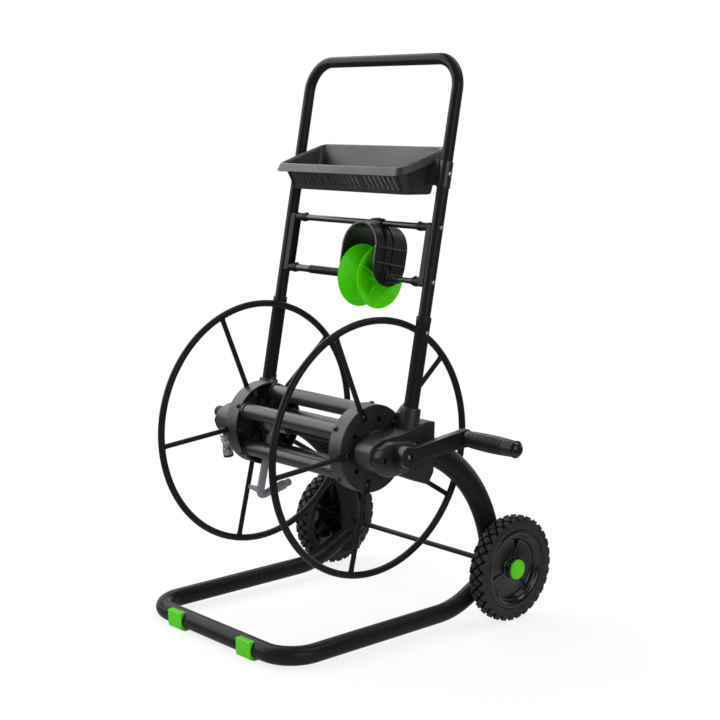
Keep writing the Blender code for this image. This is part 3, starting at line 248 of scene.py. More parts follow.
def skinned(rings, capLast=True):
    # a closed ring of points drawn out through the next ones, which have as many points
    bm = bmesh.new()
    ordered = [bm.verts.new(point) for point in rings[0]]
    edges = [bm.edges.new(ends) for ends in zip(ordered, ordered[1:] + ordered[:1])]
    bm.faces.new(ordered)
    for ring in rings[1:]:
        grown = bmesh.ops.extrude_edge_only(bm, edges=edges)["geom"]
        fresh = set(only(BMVert, grown))
        ordered = [next(edge.other_vert(vert) for edge in vert.link_edges
                        if edge.other_vert(vert) in fresh) for vert in ordered]
        for vert, point in zip(ordered, ring):
            vert.co = point
        edges = [edge for edge in only(BMEdge, grown) if fresh.issuperset(edge.verts)]
    if capLast:
        bm.faces.new(ordered)
    bmesh.ops.recalc_face_normals(bm, faces=bm.faces)
    return bm


def gathered(*forms):
    # several forms as one
    whole = bmesh.new()
    for form in forms:
        mesh = bpy.data.meshes.new("part")
        form.to_mesh(mesh)
        form.free()
        whole.from_mesh(mesh)
        bpy.data.meshes.remove(mesh)
    return whole


def bothSides(place, *forms):
    # right-hand forms together with their mirror images
    whole = gathered(*forms)
    return placed(gathered(flipped(whole.copy()), whole), place)


def loose(name, bm):
    mesh = bpy.data.meshes.new(name)
    bm.to_mesh(mesh)
    bm.free()
    obj = bpy.data.objects.new(name, mesh)
    bpy.context.scene.collection.objects.link(obj)
    return obj


def settled(obj):
    # the object's form with its modifiers applied, in place of the object
    bpy.context.view_layer.update()
    mesh = bpy.data.meshes.new_from_object(obj.evaluated_get(bpy.context.evaluated_depsgraph_get()))
    bm = bmesh.new()
    bm.from_mesh(mesh)
    bpy.data.meshes.remove(mesh)
    bpy.data.objects.remove(obj, do_unlink=True)
    return bm


def shaped(bm, operation, *tools):
    # joins the tools to a form, cuts them out of it, or keeps what they share
    for tool in tools:
        whole, other = loose("whole", bm), loose("tool", tool)
        step = whole.modifiers.new("step", "BOOLEAN")
        step.operation = operation
        step.object = other
        bm = settled(whole)
        bmesh.ops.remove_doubles(bm, verts=bm.verts, dist=2e-6)
        bmesh.ops.dissolve_degenerate(bm, dist=1e-6, edges=bm.edges)
        bpy.data.objects.remove(other, do_unlink=True)
    return bm


def piece(name, bm, finish, body, slotName, node=None, sharp=38.0, weighted=False):
    obj = loose(name, bm)
    obj.data.materials.append(finishes[finish])
    obj.data.shade_smooth()
    obj.data.set_sharp_from_angle(angle=radians(sharp))
    if weighted:
        obj.modifiers.new("normals", "WEIGHTED_NORMAL").keep_sharp = True
    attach(obj, body)
    if node:
        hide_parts(node)


def pair(name, bm, place, finish, body, slotName, node, weighted=False):
    # the right-hand piece and its mirror image
    for side, hand in sides:
        form = flipped(bm.copy()) if side < 0 else bm.copy()
        piece(name + "_" + hand, placed(form, place), finish, body, slotName, node + "_" + hand,
              weighted=weighted)
    bm.free()


# finishes

class Wire:
    # one socket in a sum; each sum adds its Math node
    def __init__(self, recipe, socket):
        self.recipe = recipe
        self.socket = socket

    def math(self, operation, first, second):
        return self.recipe.node("ShaderNodeMath", {"operation": operation}, {0: first, 1: second})

    def __add__(self, other):
        return self.math("ADD", self, other)

    def __sub__(self, other):
        return self.math("SUBTRACT", self, other)

    def __rsub__(self, other):
        return self.math("SUBTRACT", other, self)

    def __mul__(self, other):
        return self.math("MULTIPLY", self, other)


class Recipe:
    # the nodes of a material or of the world in the making
    def __init__(self, owner):
        owner.use_nodes = True
        self.tree = owner.node_tree

    def fill(self, node, sockets):
        for key, value in sockets.items():
            if isinstance(value, Wire):
                self.tree.links.new(value.socket, node.inputs[key])
            else:
                node.inputs[key].default_value = value

    def known(self, name, sockets):
        # fills a node that is there from the start
        node = self.tree.nodes[name]
        self.fill(node, sockets)
        return node

    def node(self, kind, settings=None, sockets=None, output=0):
        node = self.tree.nodes.new(kind)
        for key, value in (settings or {}).items():
            setattr(node, key, value)
        self.fill(node, sockets or {})
        return Wire(self, node.outputs[output])

    def noise(self, spot, scale, detail):
        return self.node("ShaderNodeTexNoise", {}, {"Vector": spot, "Scale": scale, "Detail": detail})

    def mixed(self, share, first, second):
        return self.node("ShaderNodeMix", {"data_type": "RGBA"}, {0: share, 6: first, 7: second}, 2)

    def ramp(self, value, low, high):
        # 0 below low, 1 above high
        return self.node("ShaderNodeMapRange", {}, {"Value": value, "From Min": low, "From Max": high})

    def upward(self, direction):
        return self.node("ShaderNodeSeparateXYZ", {}, {0: direction}, 2)


def grey(level, warm=0.0):
    return (level * (1 + warm), level, level * (1 - warm), 1.0)


shading = {
    "patchDetail": 4.0,
    "grainDetail": 3.0,
    "patchEdges": (0.35, 0.65),
    "dustTilt": (0.2, 1.0),         # from where a face starts to look up to where it lies flat
    "dustGrain": (0.45, 0.75),
}
usual = {"wander": 0.04, "patchScale": 20.0, "grainScale": 1200.0, "bump": 0.04, "bumpDepth": 0.0003,
         "grainShare": 0.8, "specular": 0.5, "metallic": 0.0, "dust": 0.0, "dustColour": grey(0.03)}
metal = {"bumpDepth": 0.0002, "grainShare": 0.6, "metallic": 1.0}


def lookOf(colour, colour2, rough, **values):
    return {**usual, "colour": colour, "colour2": colour2, "rough": rough, **values}


looks = {
    "powderBlack": lookOf(grey(0.0100, -0.04), grey(0.0120, -0.04), 0.29, wander=0.05, patchScale=9.0,
                        grainScale=900.0, bump=0.10, specular=0.13, dust=0.05),
    "drumGrey": lookOf(grey(0.0170, -0.04), grey(0.0195, -0.04), 0.36, wander=0.02, patchScale=14.0,
                     grainScale=700.0, bump=0.02, bumpDepth=0.0002, grainShare=1.0, specular=0.60),
    "mouldedBlack": lookOf(grey(0.0085), grey(0.0108), 0.46, wander=0.08, patchScale=22.0, grainScale=1500.0,
                         bump=0.25, grainShare=0.85, specular=0.75, dust=0.08),
    "trayBlack": lookOf(grey(0.0125), grey(0.0155), 0.50, wander=0.06, patchScale=18.0, grainScale=1300.0,
                      bump=0.12, grainShare=0.9, specular=0.85, dust=0.10, dustColour=grey(0.04)),
    "satinBlack": lookOf(grey(0.0070, -0.03), grey(0.0090, -0.03), 0.30, grainShare=0.9, specular=0.60,
                       dust=0.05),
    "glossBlack": lookOf(grey(0.0045, -0.04), grey(0.0060, -0.04), 0.13, patchScale=12.0, grainScale=500.0,
                       bump=0.03, bumpDepth=0.0004, grainShare=0.4, specular=0.65),
    "tyreBlack": lookOf(grey(0.0130), grey(0.0175), 0.60, wander=0.10, patchScale=30.0, grainScale=1400.0,
                      bump=0.35, bumpDepth=0.0004, specular=0.45, dust=0.15, dustColour=grey(0.05, 0.03)),
    "leafGreen": lookOf((0.084, 0.490, 0.006, 1.0), (0.098, 0.530, 0.009, 1.0), 0.36, wander=0.06,
                      patchScale=16.0, grainScale=1100.0, bump=0.12, grainShare=0.7, specular=0.2),
    "glossGreen": lookOf((0.072, 0.640, 0.001, 1.0), (0.086, 0.690, 0.002, 1.0), 0.22, patchScale=14.0,
                       grainScale=500.0, bump=0.03, grainShare=0.4, specular=0.14),
    "gripBlack": lookOf(grey(0.0080), grey(0.0105), 0.36, patchScale=26.0, grainScale=1300.0,
                      grainShare=0.9, specular=0.45),
    # painted shade: near black and matt, darker than the tyre's own rubber, for the sheet that lines the
    # grooves between the tread blocks
    "grooveBlack": lookOf(grey(0.0030), grey(0.0040), 0.85, wander=0.05, patchScale=30.0, grainScale=1400.0,
                        bump=0.1, specular=0.1),
    "darkZinc": lookOf((0.16, 0.16, 0.165, 1.0), (0.11, 0.11, 0.115, 1.0), 0.35, wander=0.12,
                     patchScale=120.0, grainScale=1500.0, bump=0.1, **metal),
    "nickel": lookOf((0.62, 0.61, 0.60, 1.0), (0.52, 0.51, 0.50, 1.0), 0.36, wander=0.08, patchScale=60.0,
                   grainScale=900.0, **metal),
    "zinc": lookOf((0.52, 0.52, 0.52, 1.0), (0.40, 0.40, 0.41, 1.0), 0.28, wander=0.12, patchScale=120.0,
                 grainScale=1500.0, bump=0.1, **metal),
    "pipeGrey": lookOf((0.155, 0.150, 0.175, 1.0), (0.185, 0.180, 0.205, 1.0), 0.40, wander=0.08,
                     patchScale=30.0, bump=0.15),
}


def finishOf(name, look):
    # a Principled finish: two near colours in soft patches, a roughness that wanders, fine and broad bumps
    material = bpy.data.materials.new(name)
    recipe = Recipe(material)
    spot = recipe.node("ShaderNodeTexCoord", output="Object")
    patches = recipe.noise(spot, look["patchScale"], shading["patchDetail"])
    grain = recipe.noise(spot, look["grainScale"], shading["grainDetail"])
    share = recipe.ramp(patches, *shading["patchEdges"])
    colour = recipe.mixed(share, look["colour"], look["colour2"])
    if look["dust"]:
        # dust lies on faces that look up
        up = recipe.upward(recipe.node("ShaderNodeNewGeometry", output="Normal"))
        settling = recipe.ramp(up, *shading["dustTilt"]) * recipe.ramp(grain, *shading["dustGrain"])
        colour = recipe.mixed(settling * look["dust"], colour, look["dustColour"])
    height = grain * look["grainShare"] + patches * (1 - look["grainShare"])
    bump = recipe.node("ShaderNodeBump", {}, {"Strength": look["bump"], "Distance": look["bumpDepth"],
                                              "Height": height})
    recipe.known("Principled BSDF", {
        "Base Color": colour,
        "Roughness": share * look["wander"] + (look["rough"] - look["wander"] / 2),
        "Normal": bump,
        "Metallic": look["metallic"],
        "Specular IOR Level": look["specular"],
    })
    return material


finishes = {name: finishOf(name, look) for name, look in looks.items()}
print("finishes made:", len(finishes))


# stage, light and camera
white = (1.0, 1.0, 1.0, 1.0)
stage = {
    "floorSize": 60.0,
    "floorColour": (0.93, 0.93, 0.93, 1.0),
    "floorRough": 0.9,
    "floorShare": 0.82,             # how much of a plain white the floor near the object shows
    "floorFade": (0.35, 1.4),       # from the first distance on the floor turns to that white alone
    "white": 1.0,                   # the backdrop behind and round the object
    "dim": 0.10,                    # what reflections see overhead and behind the camera
    "underneath": 0.48,             # how bright reflections see the floor near the object
    "glowFade": (0.40, 0.90),       # where that brightness falls to the dim one
    "ambient": 0.48,                # what lights the object from all round
    "farSide": (-0.74, 0.67, 0.0),
    "skyFade": (0.42, 0.10),        # reflections see the backdrop fade out upwards, from the lower height
    "farFade": (-0.1, 0.5),         # and towards the camera's side
    "lampAim": (0.0, 0.0, 0.5),
}
lamps = {
    # power, size, place
    "keySoftbox": (54.0, (2.7, 2.2), (-2.1, -0.35, 2.4)),
    "frontSoftbox": (28.0, (2.0, 1.6), (-1.9, -2.0, 1.35)),
    "fillSoftbox": (26.0, (2.4, 2.3), (2.9, -0.7, 1.45)),
    "topSoftbox": (22.0, (2.2, 1.5), (0.45, 1.0, 2.6)),
    "rimSoftbox": (9.0, (1.4, 0.8), (-1.75, 1.1, 1.8)),
}
view = {
    "lens": 74.51,
    "sensor": 36.0,
    "reach": 200.0,
    "place": (2.14375, -1.95395, 0.9614),
    "right": (0.67255634, 0.73986065, 0.01655861),
    "up": (-0.12201457, 0.08879061, 0.98854877),
    "back": (0.72991809, -0.66687513, 0.14999046),
}


def isRay(recipe, kind):
    return recipe.node("ShaderNodeLightPath", output="Is " + kind + " Ray")


def seenDirectly(recipe):
    # 1 for the camera, for reflections and for light through something clear, 0 for light on things
    rays = isRay(recipe, "Camera") + isRay(recipe, "Glossy") + isRay(recipe, "Transmission")
    return recipe.ramp(rays, 0.0, 1.0)


def whiteInView(recipe, seen):
    # the camera sees plain white, reflections see what is given
    return seen + isRay(recipe, "Camera") * (stage["white"] - seen)


def makeFloor():
    bm = bmesh.new()
    bmesh.ops.create_grid(bm, x_segments=1, y_segments=1, size=stage["floorSize"] / 2)
    floor = loose("floor", bm)
    material = bpy.data.materials.new("paleFloor")
    recipe = Recipe(material)
    surface = recipe.known("Principled BSDF", {"Base Color": stage["floorColour"],
                                               "Roughness": stage["floorRough"], "Specular IOR Level": 0.0})
    spot = recipe.node("ShaderNodeTexCoord", output="Object")
    distance = recipe.node("ShaderNodeVectorMath", {"operation": "LENGTH"}, {0: spot}, "Value")
    fall = stage["underneath"] - stage["dim"]
    glowing = stage["underneath"] - recipe.ramp(distance, *stage["glowFade"]) * fall
    glow = recipe.node("ShaderNodeEmission", {}, {"Color": white, "Strength": whiteInView(recipe, glowing)})
    away = recipe.ramp(distance, *stage["floorFade"])
    share = seenDirectly(recipe) * (away * (1 - stage["floorShare"]) + stage["floorShare"])
    both = recipe.node("ShaderNodeMixShader", {}, {0: share, 1: Wire(recipe, surface.outputs[0]), 2: glow})
    recipe.known("Material Output", {"Surface": both})
    floor.data.materials.append(material)


def makeWorld():
    world = bpy.data.worlds.new("surroundings")
    bpy.context.scene.world = world
    recipe = Recipe(world)
    direction = recipe.node("ShaderNodeTexCoord", output="Generated")
    beyond = recipe.node("ShaderNodeVectorMath", {"operation": "DOT_PRODUCT"},
                         {0: direction, 1: stage["farSide"]}, "Value")
    lit = recipe.ramp(recipe.upward(direction), *stage["skyFade"]) * recipe.ramp(beyond, *stage["farFade"])
    backdrop = whiteInView(recipe, lit * (stage["white"] - stage["dim"]) + stage["dim"])
    strength = seenDirectly(recipe) * (backdrop - stage["ambient"]) + stage["ambient"]
    recipe.known("Background", {"Color": white, "Strength": strength})


def makeLamp(name, power, size, place):
    lamp = bpy.data.lights.new(name, "AREA")
    lamp.shape = "RECTANGLE"
    lamp.size, lamp.size_y = size
    lamp.energy = power
    obj = bpy.data.objects.new(name, lamp)
    bpy.context.scene.collection.objects.link(obj)
    obj.location = place
    obj.rotation_euler = (Vector(stage["lampAim"]) - Vector(place)).to_track_quat("-Z", "Y").to_euler()
    obj.visible_camera = False


def makeCamera():
    data = bpy.data.cameras.new("camera")
    data.lens = view["lens"]
    data.sensor_width = view["sensor"]
    data.clip_end = view["reach"]
    camera = bpy.data.objects.new("camera", data)
    bpy.context.scene.collection.objects.link(camera)
    turned = Matrix((view["right"], view["up"], view["back"])).transposed().to_4x4()
    camera.matrix_world = at(*view["place"]) @ turned
    bpy.context.scene.camera = camera


makeFloor()
makeWorld()
for lampName, values in lamps.items():
    makeLamp(lampName, *values)
makeCamera()
bpy.context.scene.view_settings.view_transform = "Standard"
print("stage, lamps and camera made")


# base frame, arches and clips
frameSteel = ("powderBlack", "chassis", "black_steel")
base = {
    "radius": 0.0180,
    "frontY": -0.2377,
    "frontZ": 0.0212,
    "cornerRadius": 0.0640,
    "slope": radians(1.15),
    "bendY": 0.1450,
    "bendRadius": 0.1900,
    "bendAngle": radians(26.0),
    "endGap": 0.0024,           # from the tube's end to the wheels' axis
    "copeMargin": 0.002,
}
arch = {
    "width": 0.0346,
    "depth": 0.0502,
    "wall": 0.0020,
    "radius": 0.2879,
    "centreZ": 0.0919,
    "tailZ": 0.0420,
    "topY": 0.0740,
    "hollow": 0.025,            # how far the tail is open from below
}
clip = {
    "x": 0.1080,
    "width": 0.0420,
    "wall": 0.0029,
    "rim": 0.0006,
}


def baseHalf():
    # the right half of the tube's path, from the front corner to the arch
    x, corner, bend, slope = cart["sideX"], base["cornerRadius"], base["bendRadius"], base["slope"]
    path = []
    for u, y in arc(x - corner, base["frontY"] + corner, corner, -quarter, 0.0, 16):
        path.append((u, y, base["frontZ"] + (y - base["frontY"]) * tan(slope)))
    low = base["frontZ"] + (base["bendY"] - base["frontY"]) * tan(slope)
    path += [(x, y, z) for y, z in arc(base["bendY"] - bend * sin(slope), low + bend * cos(slope),
                                       bend, slope - quarter, slope + base["bendAngle"] - quarter, 14)]
    end = cart["axleY"] - base["endGap"]
    _, y, z = path[-1]
    return path + [(x, end, z + (end - y) * tan(slope + base["bendAngle"]))]


def archPath(extra=0.0):
    centreY = cart["axleY"] - arch["radius"]
    top = acos((arch["topY"] - centreY) / arch["radius"]) + extra / arch["radius"]
    path = [(0.0, y, z) for y, z in arc(centreY, arch["centreZ"], arch["radius"], top, 0.0, 44)]
    return path + [(0.0, cart["axleY"], arch["tailZ"] - extra)]


def ovalTube(width, depth, path):
    bm = swept(path, depth / 2, 32)
    bmesh.ops.scale(bm, vec=(width / depth, 1, 1), verts=bm.verts)
    return bm


def makeBase():
    half, margin = baseHalf(), base["copeMargin"]
    tube = swept([(-x, y, z) for x, y, z in reversed(half)] + half, base["radius"], 32)
    for side, _ in sides:
        cope = ovalTube(2 * base["radius"] + margin, arch["depth"] - margin, archPath(0.02))
        tube = shaped(tube, "DIFFERENCE", placed(cope, at(side * cart["sideX"])))
    piece("baseTube", placed(tube, onCart), *frameSteel, "base_frame")
    low = arch["tailZ"]
    hollow = ovalTube(arch["width"] - 2 * arch["wall"], arch["depth"] - 2 * arch["wall"],
                      [(0, cart["axleY"], low + arch["hollow"]), (0, cart["axleY"], low - 0.01)])
    tube = shaped(ovalTube(arch["width"], arch["depth"], archPath()), "DIFFERENCE", hollow)
    pair("archTube", placed(tube, at(cart["sideX"])), onCart, *frameSteel, "arch")


def makeClips():
    inner = base["radius"] + snug
    outer = inner + clip["wall"]
    outline = arc(0, 0, inner, radians(118), radians(292), 40)
    outline += arc(0, 0, outer, radians(292), radians(278), 5) + [(0.006, -outer), (-0.010, -outer)]
    outline += arc(0.006 - outer * 0.93, -outer * 0.55 - 0.0015, 0.0062, radians(238), radians(182), 5)
    outline += [(-outer, outer * 0.58)] + arc(0.0035 - outer, outer * 0.60, 0.0035, pi, radians(118), 5)
    form = placed(slab(outline, clip["width"], clip["rim"]), at(clip["x"], base["frontY"], base["frontZ"]),
                  sideOn)
    pair("footClip", form, onCart, "leafGreen", "chassis", "green_plastic", "foot_clip", weighted=True)


makeBase()
makeClips()
print("base frame, arches and clips made")


# uprights, handle and guide rods
uprights = {
    "lowerRadius": 0.0140,
    "lowerFoot": 0.0105,
    "lowerTop": 0.2530,
    "middleRadius": 0.0117,
    "middleTop": 0.5400,
    "overlap": 0.0850,
    "wall": 0.0015,
    "handleRadius": 0.0112,
    "handleTop": 0.7427,
    "handleBend": 0.0590,
    # height over the middle tube's end, and the handle's size there
    "handleEnd": ((0.0018, 1.0), (0.0006, 0.985), (0.0, 0.94), (-0.0004, 0.88), (-0.0600, 0.88)),
}
guide = {
    "barS": 0.3168,             # S is measured along the uprights
    "rodS": 0.4219,
    "rodRadius": 0.0064,
    "barRadius": 0.0072,
    "ribRadius": 0.0086,
    "ribPitch": 0.0066,
    "ribbedLength": 0.2645,
    "ribDip": 0.0024,
    # share of the pitch, share of the rib's height
    "rib": ((0.0, 0.0), (0.20, 0.10), (0.28, 0.75), (0.40, 1.0), (0.60, 1.0), (0.72, 0.75), (0.80, 0.10)),
    "end": 0.2000,
    "depth": 0.0085,
    "hug": 0.0045,
    "width": 0.0188,
    "wall": 0.0020,
    "beyond": 0.0090,           # bracket past the rods' axes
    "upperBossX": 0.1630,
    "lowerBossX": 0.1720,
}


def makeUprights():
    lip, radius, foot = uprights["lowerTop"], uprights["lowerRadius"], uprights["lowerFoot"]
    inner = uprights["middleRadius"] + snug
    lower = spun([(radius - 0.0012, lip), (radius - 0.0002, lip - 0.0006), (radius + 0.0004, lip - 0.0016),
                  (radius + 0.0004, lip - 0.0118), (radius, lip - 0.0130), (radius, foot), (inner, foot),
                  (inner, lip - 0.0008), (inner + 0.0006, lip)], 40, True)
    middle = sleeve(uprights["middleRadius"], uprights["middleRadius"] - uprights["wall"],
                    lip - uprights["overlap"], uprights["middleTop"], 40)
    for side, name in sides:
        place = onUpright @ at(side * cart["sideX"])
        for form, title, node in ((lower, "lowerUpright_", "lower_upright_"),
                                  (middle, "middleUpright_", "middle_upright_")):
            piece(title + name, doubled(form, place), *frameSteel, node + name)
    lower.free()
    middle.free()


def makeHandle():
    x, top, bend = cart["sideX"], uprights["handleTop"], uprights["handleBend"]
    half = [(u, 0.0, v) for u, v in arc(x - bend, top - bend, bend, quarter, 0.0, 20)]
    sizes = [1.0] * len(half)
    for rise, size in uprights["handleEnd"]:
        half.append((x, 0.0, uprights["middleTop"] + snug + rise))
        sizes.append(size)
    path = [(-x, y, z) for x, y, z in reversed(half)] + half
    tube = swept(path, uprights["handleRadius"], 32, sizes=sizes[::-1] + sizes)
    piece("handleTube", placed(tube, onUpright), *frameSteel, "handle_tube")


def makeGuideRods():
    end, radius, pitch = guide["end"], guide["barRadius"], guide["ribPitch"]
    bar = placed(rod(guide["rodRadius"], -end, end, 32, 0.0004), onUpright, at(z=guide["rodS"]), alongX)
    piece("upperRod", bar, "satinBlack", "chassis", "black_steel", "upper_guide_rod")
    ribs = int(guide["ribbedLength"] / pitch)
    start = ribs * pitch / 2
    profile = [(0, end), (radius, end)]
    for rib in range(ribs):
        for share, out in guide["rib"]:
            height = (guide["ribRadius"] - radius) * out - guide["ribDip"] * (1 - out)
            profile.append((radius + height, start - (rib + share) * pitch))
    profile += [(radius, -start), (radius, -end), (0, -end)]
    piece("ribbedBar", placed(spun(profile, 28), onUpright, at(z=guide["barS"]), alongX), "satinBlack",
          "chassis", "black_plastic", "ribbed_guide_bar")


def makeGuideBrackets():
    seat = uprights["middleRadius"] + snug
    outer = cart["sideX"] - seat
    inner, back = outer - guide["depth"], outer + guide["hug"]
    low, high = guide["barS"] - guide["beyond"], guide["rodS"] + guide["beyond"]
    half, wall = guide["width"] / 2, guide["wall"]
    outline = rounded([(-half, low, 0.004), (half, low, 0.004), (half, high, 0.008), (-half, high, 0.008)])
    hollow = block(guide["depth"], 2 * (half - wall), high - low - 2 * wall - 0.004, 0.0008)
    channel = placed(slab(outline, back - inner, 0.0006), at((back + inner) / 2), sideOn)
    forms = [shaped(channel, "DIFFERENCE",
                    placed(hollow, at(inner + guide["depth"] / 2 - wall, 0, (low + high) / 2)),
                    placed(rod(seat, low - 0.01, high + 0.01, 48), at(cart["sideX"])))]
    for s, radius, start in ((guide["rodS"], guide["rodRadius"], guide["upperBossX"]),
                             (guide["barS"], guide["barRadius"], guide["lowerBossX"])):
        boss = sleeve(radius + 0.0017, radius + 0.0002, start, outer - 0.0012, 32, 0.0004)
        ring = sleeve(radius + 0.0027, radius + 0.0010, start + 0.0062, start + 0.0092, 32, 0.0006)
        nub = placed(rod(0.0026, 0.0, radius + 0.0036, 16, 0.0008), at(start + 0.0030))
        forms += [placed(gathered(boss, ring), at(z=s), alongX), placed(nub, at(z=s))]
    pair("guideBracket", gathered(*forms), onUpright, "powderBlack", "chassis", "black_plastic",
         "guide_bracket", weighted=True)


makeUprights()
makeHandle()
makeGuideRods()
makeGuideBrackets()
print("uprights, handle and guide rods made")


# wheels and their axle
wheel = {
    "x": 0.2658,
    "seat": 0.0800,
    "crown": 0.1034,            # radius of the carcass under the tread
    "crownHalf": 0.0115,        # half the nearly flat part across it
    "crownCurve": 0.0500,
    "shoulder": 0.0075,
    "sidewall": ((0.0935, 0.0176), (0.0905, 0.0178), (0.0894, 0.0181), (0.0888, 0.0190), (0.0878, 0.0195),
                 (0.0866, 0.0193), (0.0856, 0.0184), (0.0842, 0.0181), (0.0824, 0.0180), (0.0809, 0.0172),
                 (0.0800, 0.0158)),
    "blocks": 30,
    "rows": (-1.5, -0.5, 0.5, 1.5),
    "rowPitch": 0.0105,
    "treadDepth": 0.0044,
    "groove": 0.0023,
    "blockTop": 0.91,           # a block's top against its foot
    "blockCorner": 0.0028,
    "blockRim": 0.0006,
    "blockSink": 0.0004,
    "fadeStart": 0.0100,        # from here the blocks get lower, down the shoulder
    "fadeLength": 0.0080,
    "fade": 0.62,
    "floorHalf": 0.0190,
    "rimHalf": 0.0175,
    "web": 0.0020,
    # radius, height over the web
    "dish": ((0.0540, 0.0), (0.0572, 0.0006), (0.0594, 0.0024), (0.0604, 0.0050), (0.0608, 0.0068),
             (0.0616, 0.0077), (0.0634, 0.0080), (0.0650, 0.0083), (0.0660, 0.0094), (0.0676, 0.0118),
             (0.0694, 0.0137)),
    "gussetTurns": (165.0, 45.0, -75.0),
    "hub": 0.0190,
    "hubOut": 0.0165,
    "hubIn": 0.0338,
    "axle": 0.0055,
    "cap": 0.0200,
    "capDepth": 0.0045,
    "capRim": 0.0016,
}


def overTyre(around, across, out):
    # a place on the tread: angle round the wheel, distance across it, height above the carcass
    curve, shoulder = wheel["crownCurve"], wheel["shoulder"]
    bend = min(abs(across), wheel["crownHalf"]) / curve
    tip = bend + max(abs(across) - wheel["crownHalf"], 0.0) / shoulder
    height = curve * sin(bend) + shoulder * (sin(tip) - sin(bend)) + out * sin(tip)
    radius = (wheel["crown"] - curve * (1 - cos(bend)) - shoulder * (cos(bend) - cos(tip))
              + out * cos(tip))
    return (*polar(radius, around), copysign(height, across))


def treadBlock():
    # a diamond with sloping sides, drawn flat: X round the wheel, Y across it
    bm = bmesh.new()
    bmesh.ops.create_grid(bm, x_segments=4, y_segments=4, size=0.5)
    bmesh.ops.rotate(bm, cent=(0, 0, 0), matrix=Matrix.Rotation(quarter / 2, 3, "Z"), verts=bm.verts)
    along = pi * wheel["crown"] / wheel["blocks"] - wheel["groove"]
    across = wheel["rowPitch"] - wheel["groove"]
    bmesh.ops.scale(bm, vec=(along * sqrt(2), across * sqrt(2), 1), verts=bm.verts)
    corners = [vert for vert in bm.verts if len(vert.link_faces) == 1]
    bevelled(bm, corners, wheel["blockCorner"], 2, "VERTICES")
    top = bmesh.ops.extrude_face_region(bm, geom=list(bm.faces))["geom"]
    verts, faces = only(BMVert, top), only(BMFace, top)
    bmesh.ops.translate(bm, vec=(0, 0, wheel["treadDepth"]), verts=verts)
    bmesh.ops.scale(bm, vec=(wheel["blockTop"], wheel["blockTop"], 1), verts=verts)
    edges = {edge for face in faces for edge in face.edges}
    bevelled(bm, [edge for edge in edges if sum(face in faces for face in edge.link_faces) == 1],
             wheel["blockRim"], 1)
    feet = [face for face in bm.faces if face.calc_center_median().z < 1e-5]
    bmesh.ops.delete(bm, geom=feet, context="FACES")
    bmesh.ops.translate(bm, vec=(0, 0, -wheel["blockSink"]), verts=bm.verts)
    return bm


def makeTyre(place, name):
    half, shoulder = wheel["crownHalf"], wheel["shoulder"]
    crown = [overTyre(0, half * share, 0) for share in (0.0, 0.35, 0.7, 1.0)]
    crown += [overTyre(0, half + shoulder * share, 0) for share in (0.3, 0.6, 0.9, 1.2)]
    side = [(radius, height) for radius, _, height in crown] + list(wheel["sidewall"])
    carcass = spun(side[::-1] + [(radius, -height) for radius, height in side[1:]], 96, True)
    diamond = treadBlock()
    pitch = 2 * pi * wheel["crown"] / wheel["blocks"]
    tread = gathered(*[doubled(diamond, at(pitch * (index + 0.5 * (count % 2)), row * wheel["rowPitch"]))
                       for count, row in enumerate(wheel["rows"]) for index in range(wheel["blocks"])])
    diamond.free()
    for vert in tread.verts:
        down = clamped((abs(vert.co.y) - wheel["fadeStart"]) / wheel["fadeLength"])
        vert.co = overTyre(vert.co.x / wheel["crown"], vert.co.y, vert.co.z * (1 - wheel["fade"] * down))
    # a thin sheet just over the carcass between the tread blocks, coloured with the painted groove shade
    floor = []
    for share in (-1.0, -0.9, -0.75, -0.6, -0.4, -0.2, 0.0, 0.2, 0.4, 0.6, 0.75, 0.9, 1.0):
        radius, _, height = overTyre(0, wheel["floorHalf"] * share, 0.0003 - 0.0005 * (abs(share) == 1.0))
        floor.append((radius, height))
    body = "wheel_" + name
    piece("treadFloor_" + name, placed(spun(floor, 96), place), "grooveBlack", body, "tyre_rubber")
    piece("tyre_" + name, placed(gathered(carcass, tread), place), "tyreBlack", body, "tyre_rubber",
          "wheel_tyre_" + name)


def makeRim(place, name):
    hub, web, half, seat = wheel["hub"], wheel["web"], wheel["rimHalf"], wheel["seat"] - snug
    inner, out, foot, boss = wheel["axle"] + 0.0004, wheel["hubOut"], -wheel["hubIn"], wheel["hub"] * 0.8
    profile = [(inner, out), (hub - 0.0010, out), (hub, out - 0.0010)]
    profile += grooved(hub, hub - 0.0008, (0.0142, 0.0116, 0.0090), (0.0005, 0.0012, 0.0017))
    profile += [(hub, web + 0.0030), (hub + 0.0010, web + 0.0010), (hub + 0.0030, web)]
    profile += [(radius, web + rise) for radius, rise in wheel["dish"]]
    profile += [(0.0718, 0.0166), (0.0744, 0.0174), (0.0768, half), (0.0786, half - 0.0002),
                (seat - 0.0002, half - 0.0010), (seat, half - 0.0022), (seat, 0.0016 - half),
                (seat - 0.0006, 0.0004 - half), (seat - 0.0016, -half), (0.0774, -half),
                (0.0764, 0.0008 - half), (0.0758, -0.0100), (0.0740, -0.0040), (0.0700, -0.0012),
                (0.0660, -0.0008), (0.0620, -0.0020), (boss, -0.0020), (boss, foot + 0.0006),
                (boss - 0.0006, foot), (inner, foot)]
    gusset = slab([(0.0200, web - 0.0005), (0.0640, web - 0.0005), (0.0640, web + 0.0079),
                   (0.0560, web + 0.0062), (0.0420, web + 0.0022), (0.0200, web + 0.0010)],
                  0.0022, 0.0003, 1)
    back = slab([(0.0140, -0.0015), (0.0745, -0.0015), (0.0745, -0.0050), (0.0560, -0.0120),
                 (0.0140, -0.0250)], 0.0020, 0.0003, 1)
    forms = [spun(profile, 96, True)]
    forms += [doubled(gusset, turn(radians(angle), "Z"), standing) for angle in wheel["gussetTurns"]]
    forms += [doubled(back, turn(index * pi / 3, "Z"), standing) for index in range(6)]
    gusset.free()
    back.free()
    piece("rim_" + name, placed(gathered(*forms), place), "glossBlack", "wheel_" + name, "gloss_plastic",
          "wheel_rim_" + name)


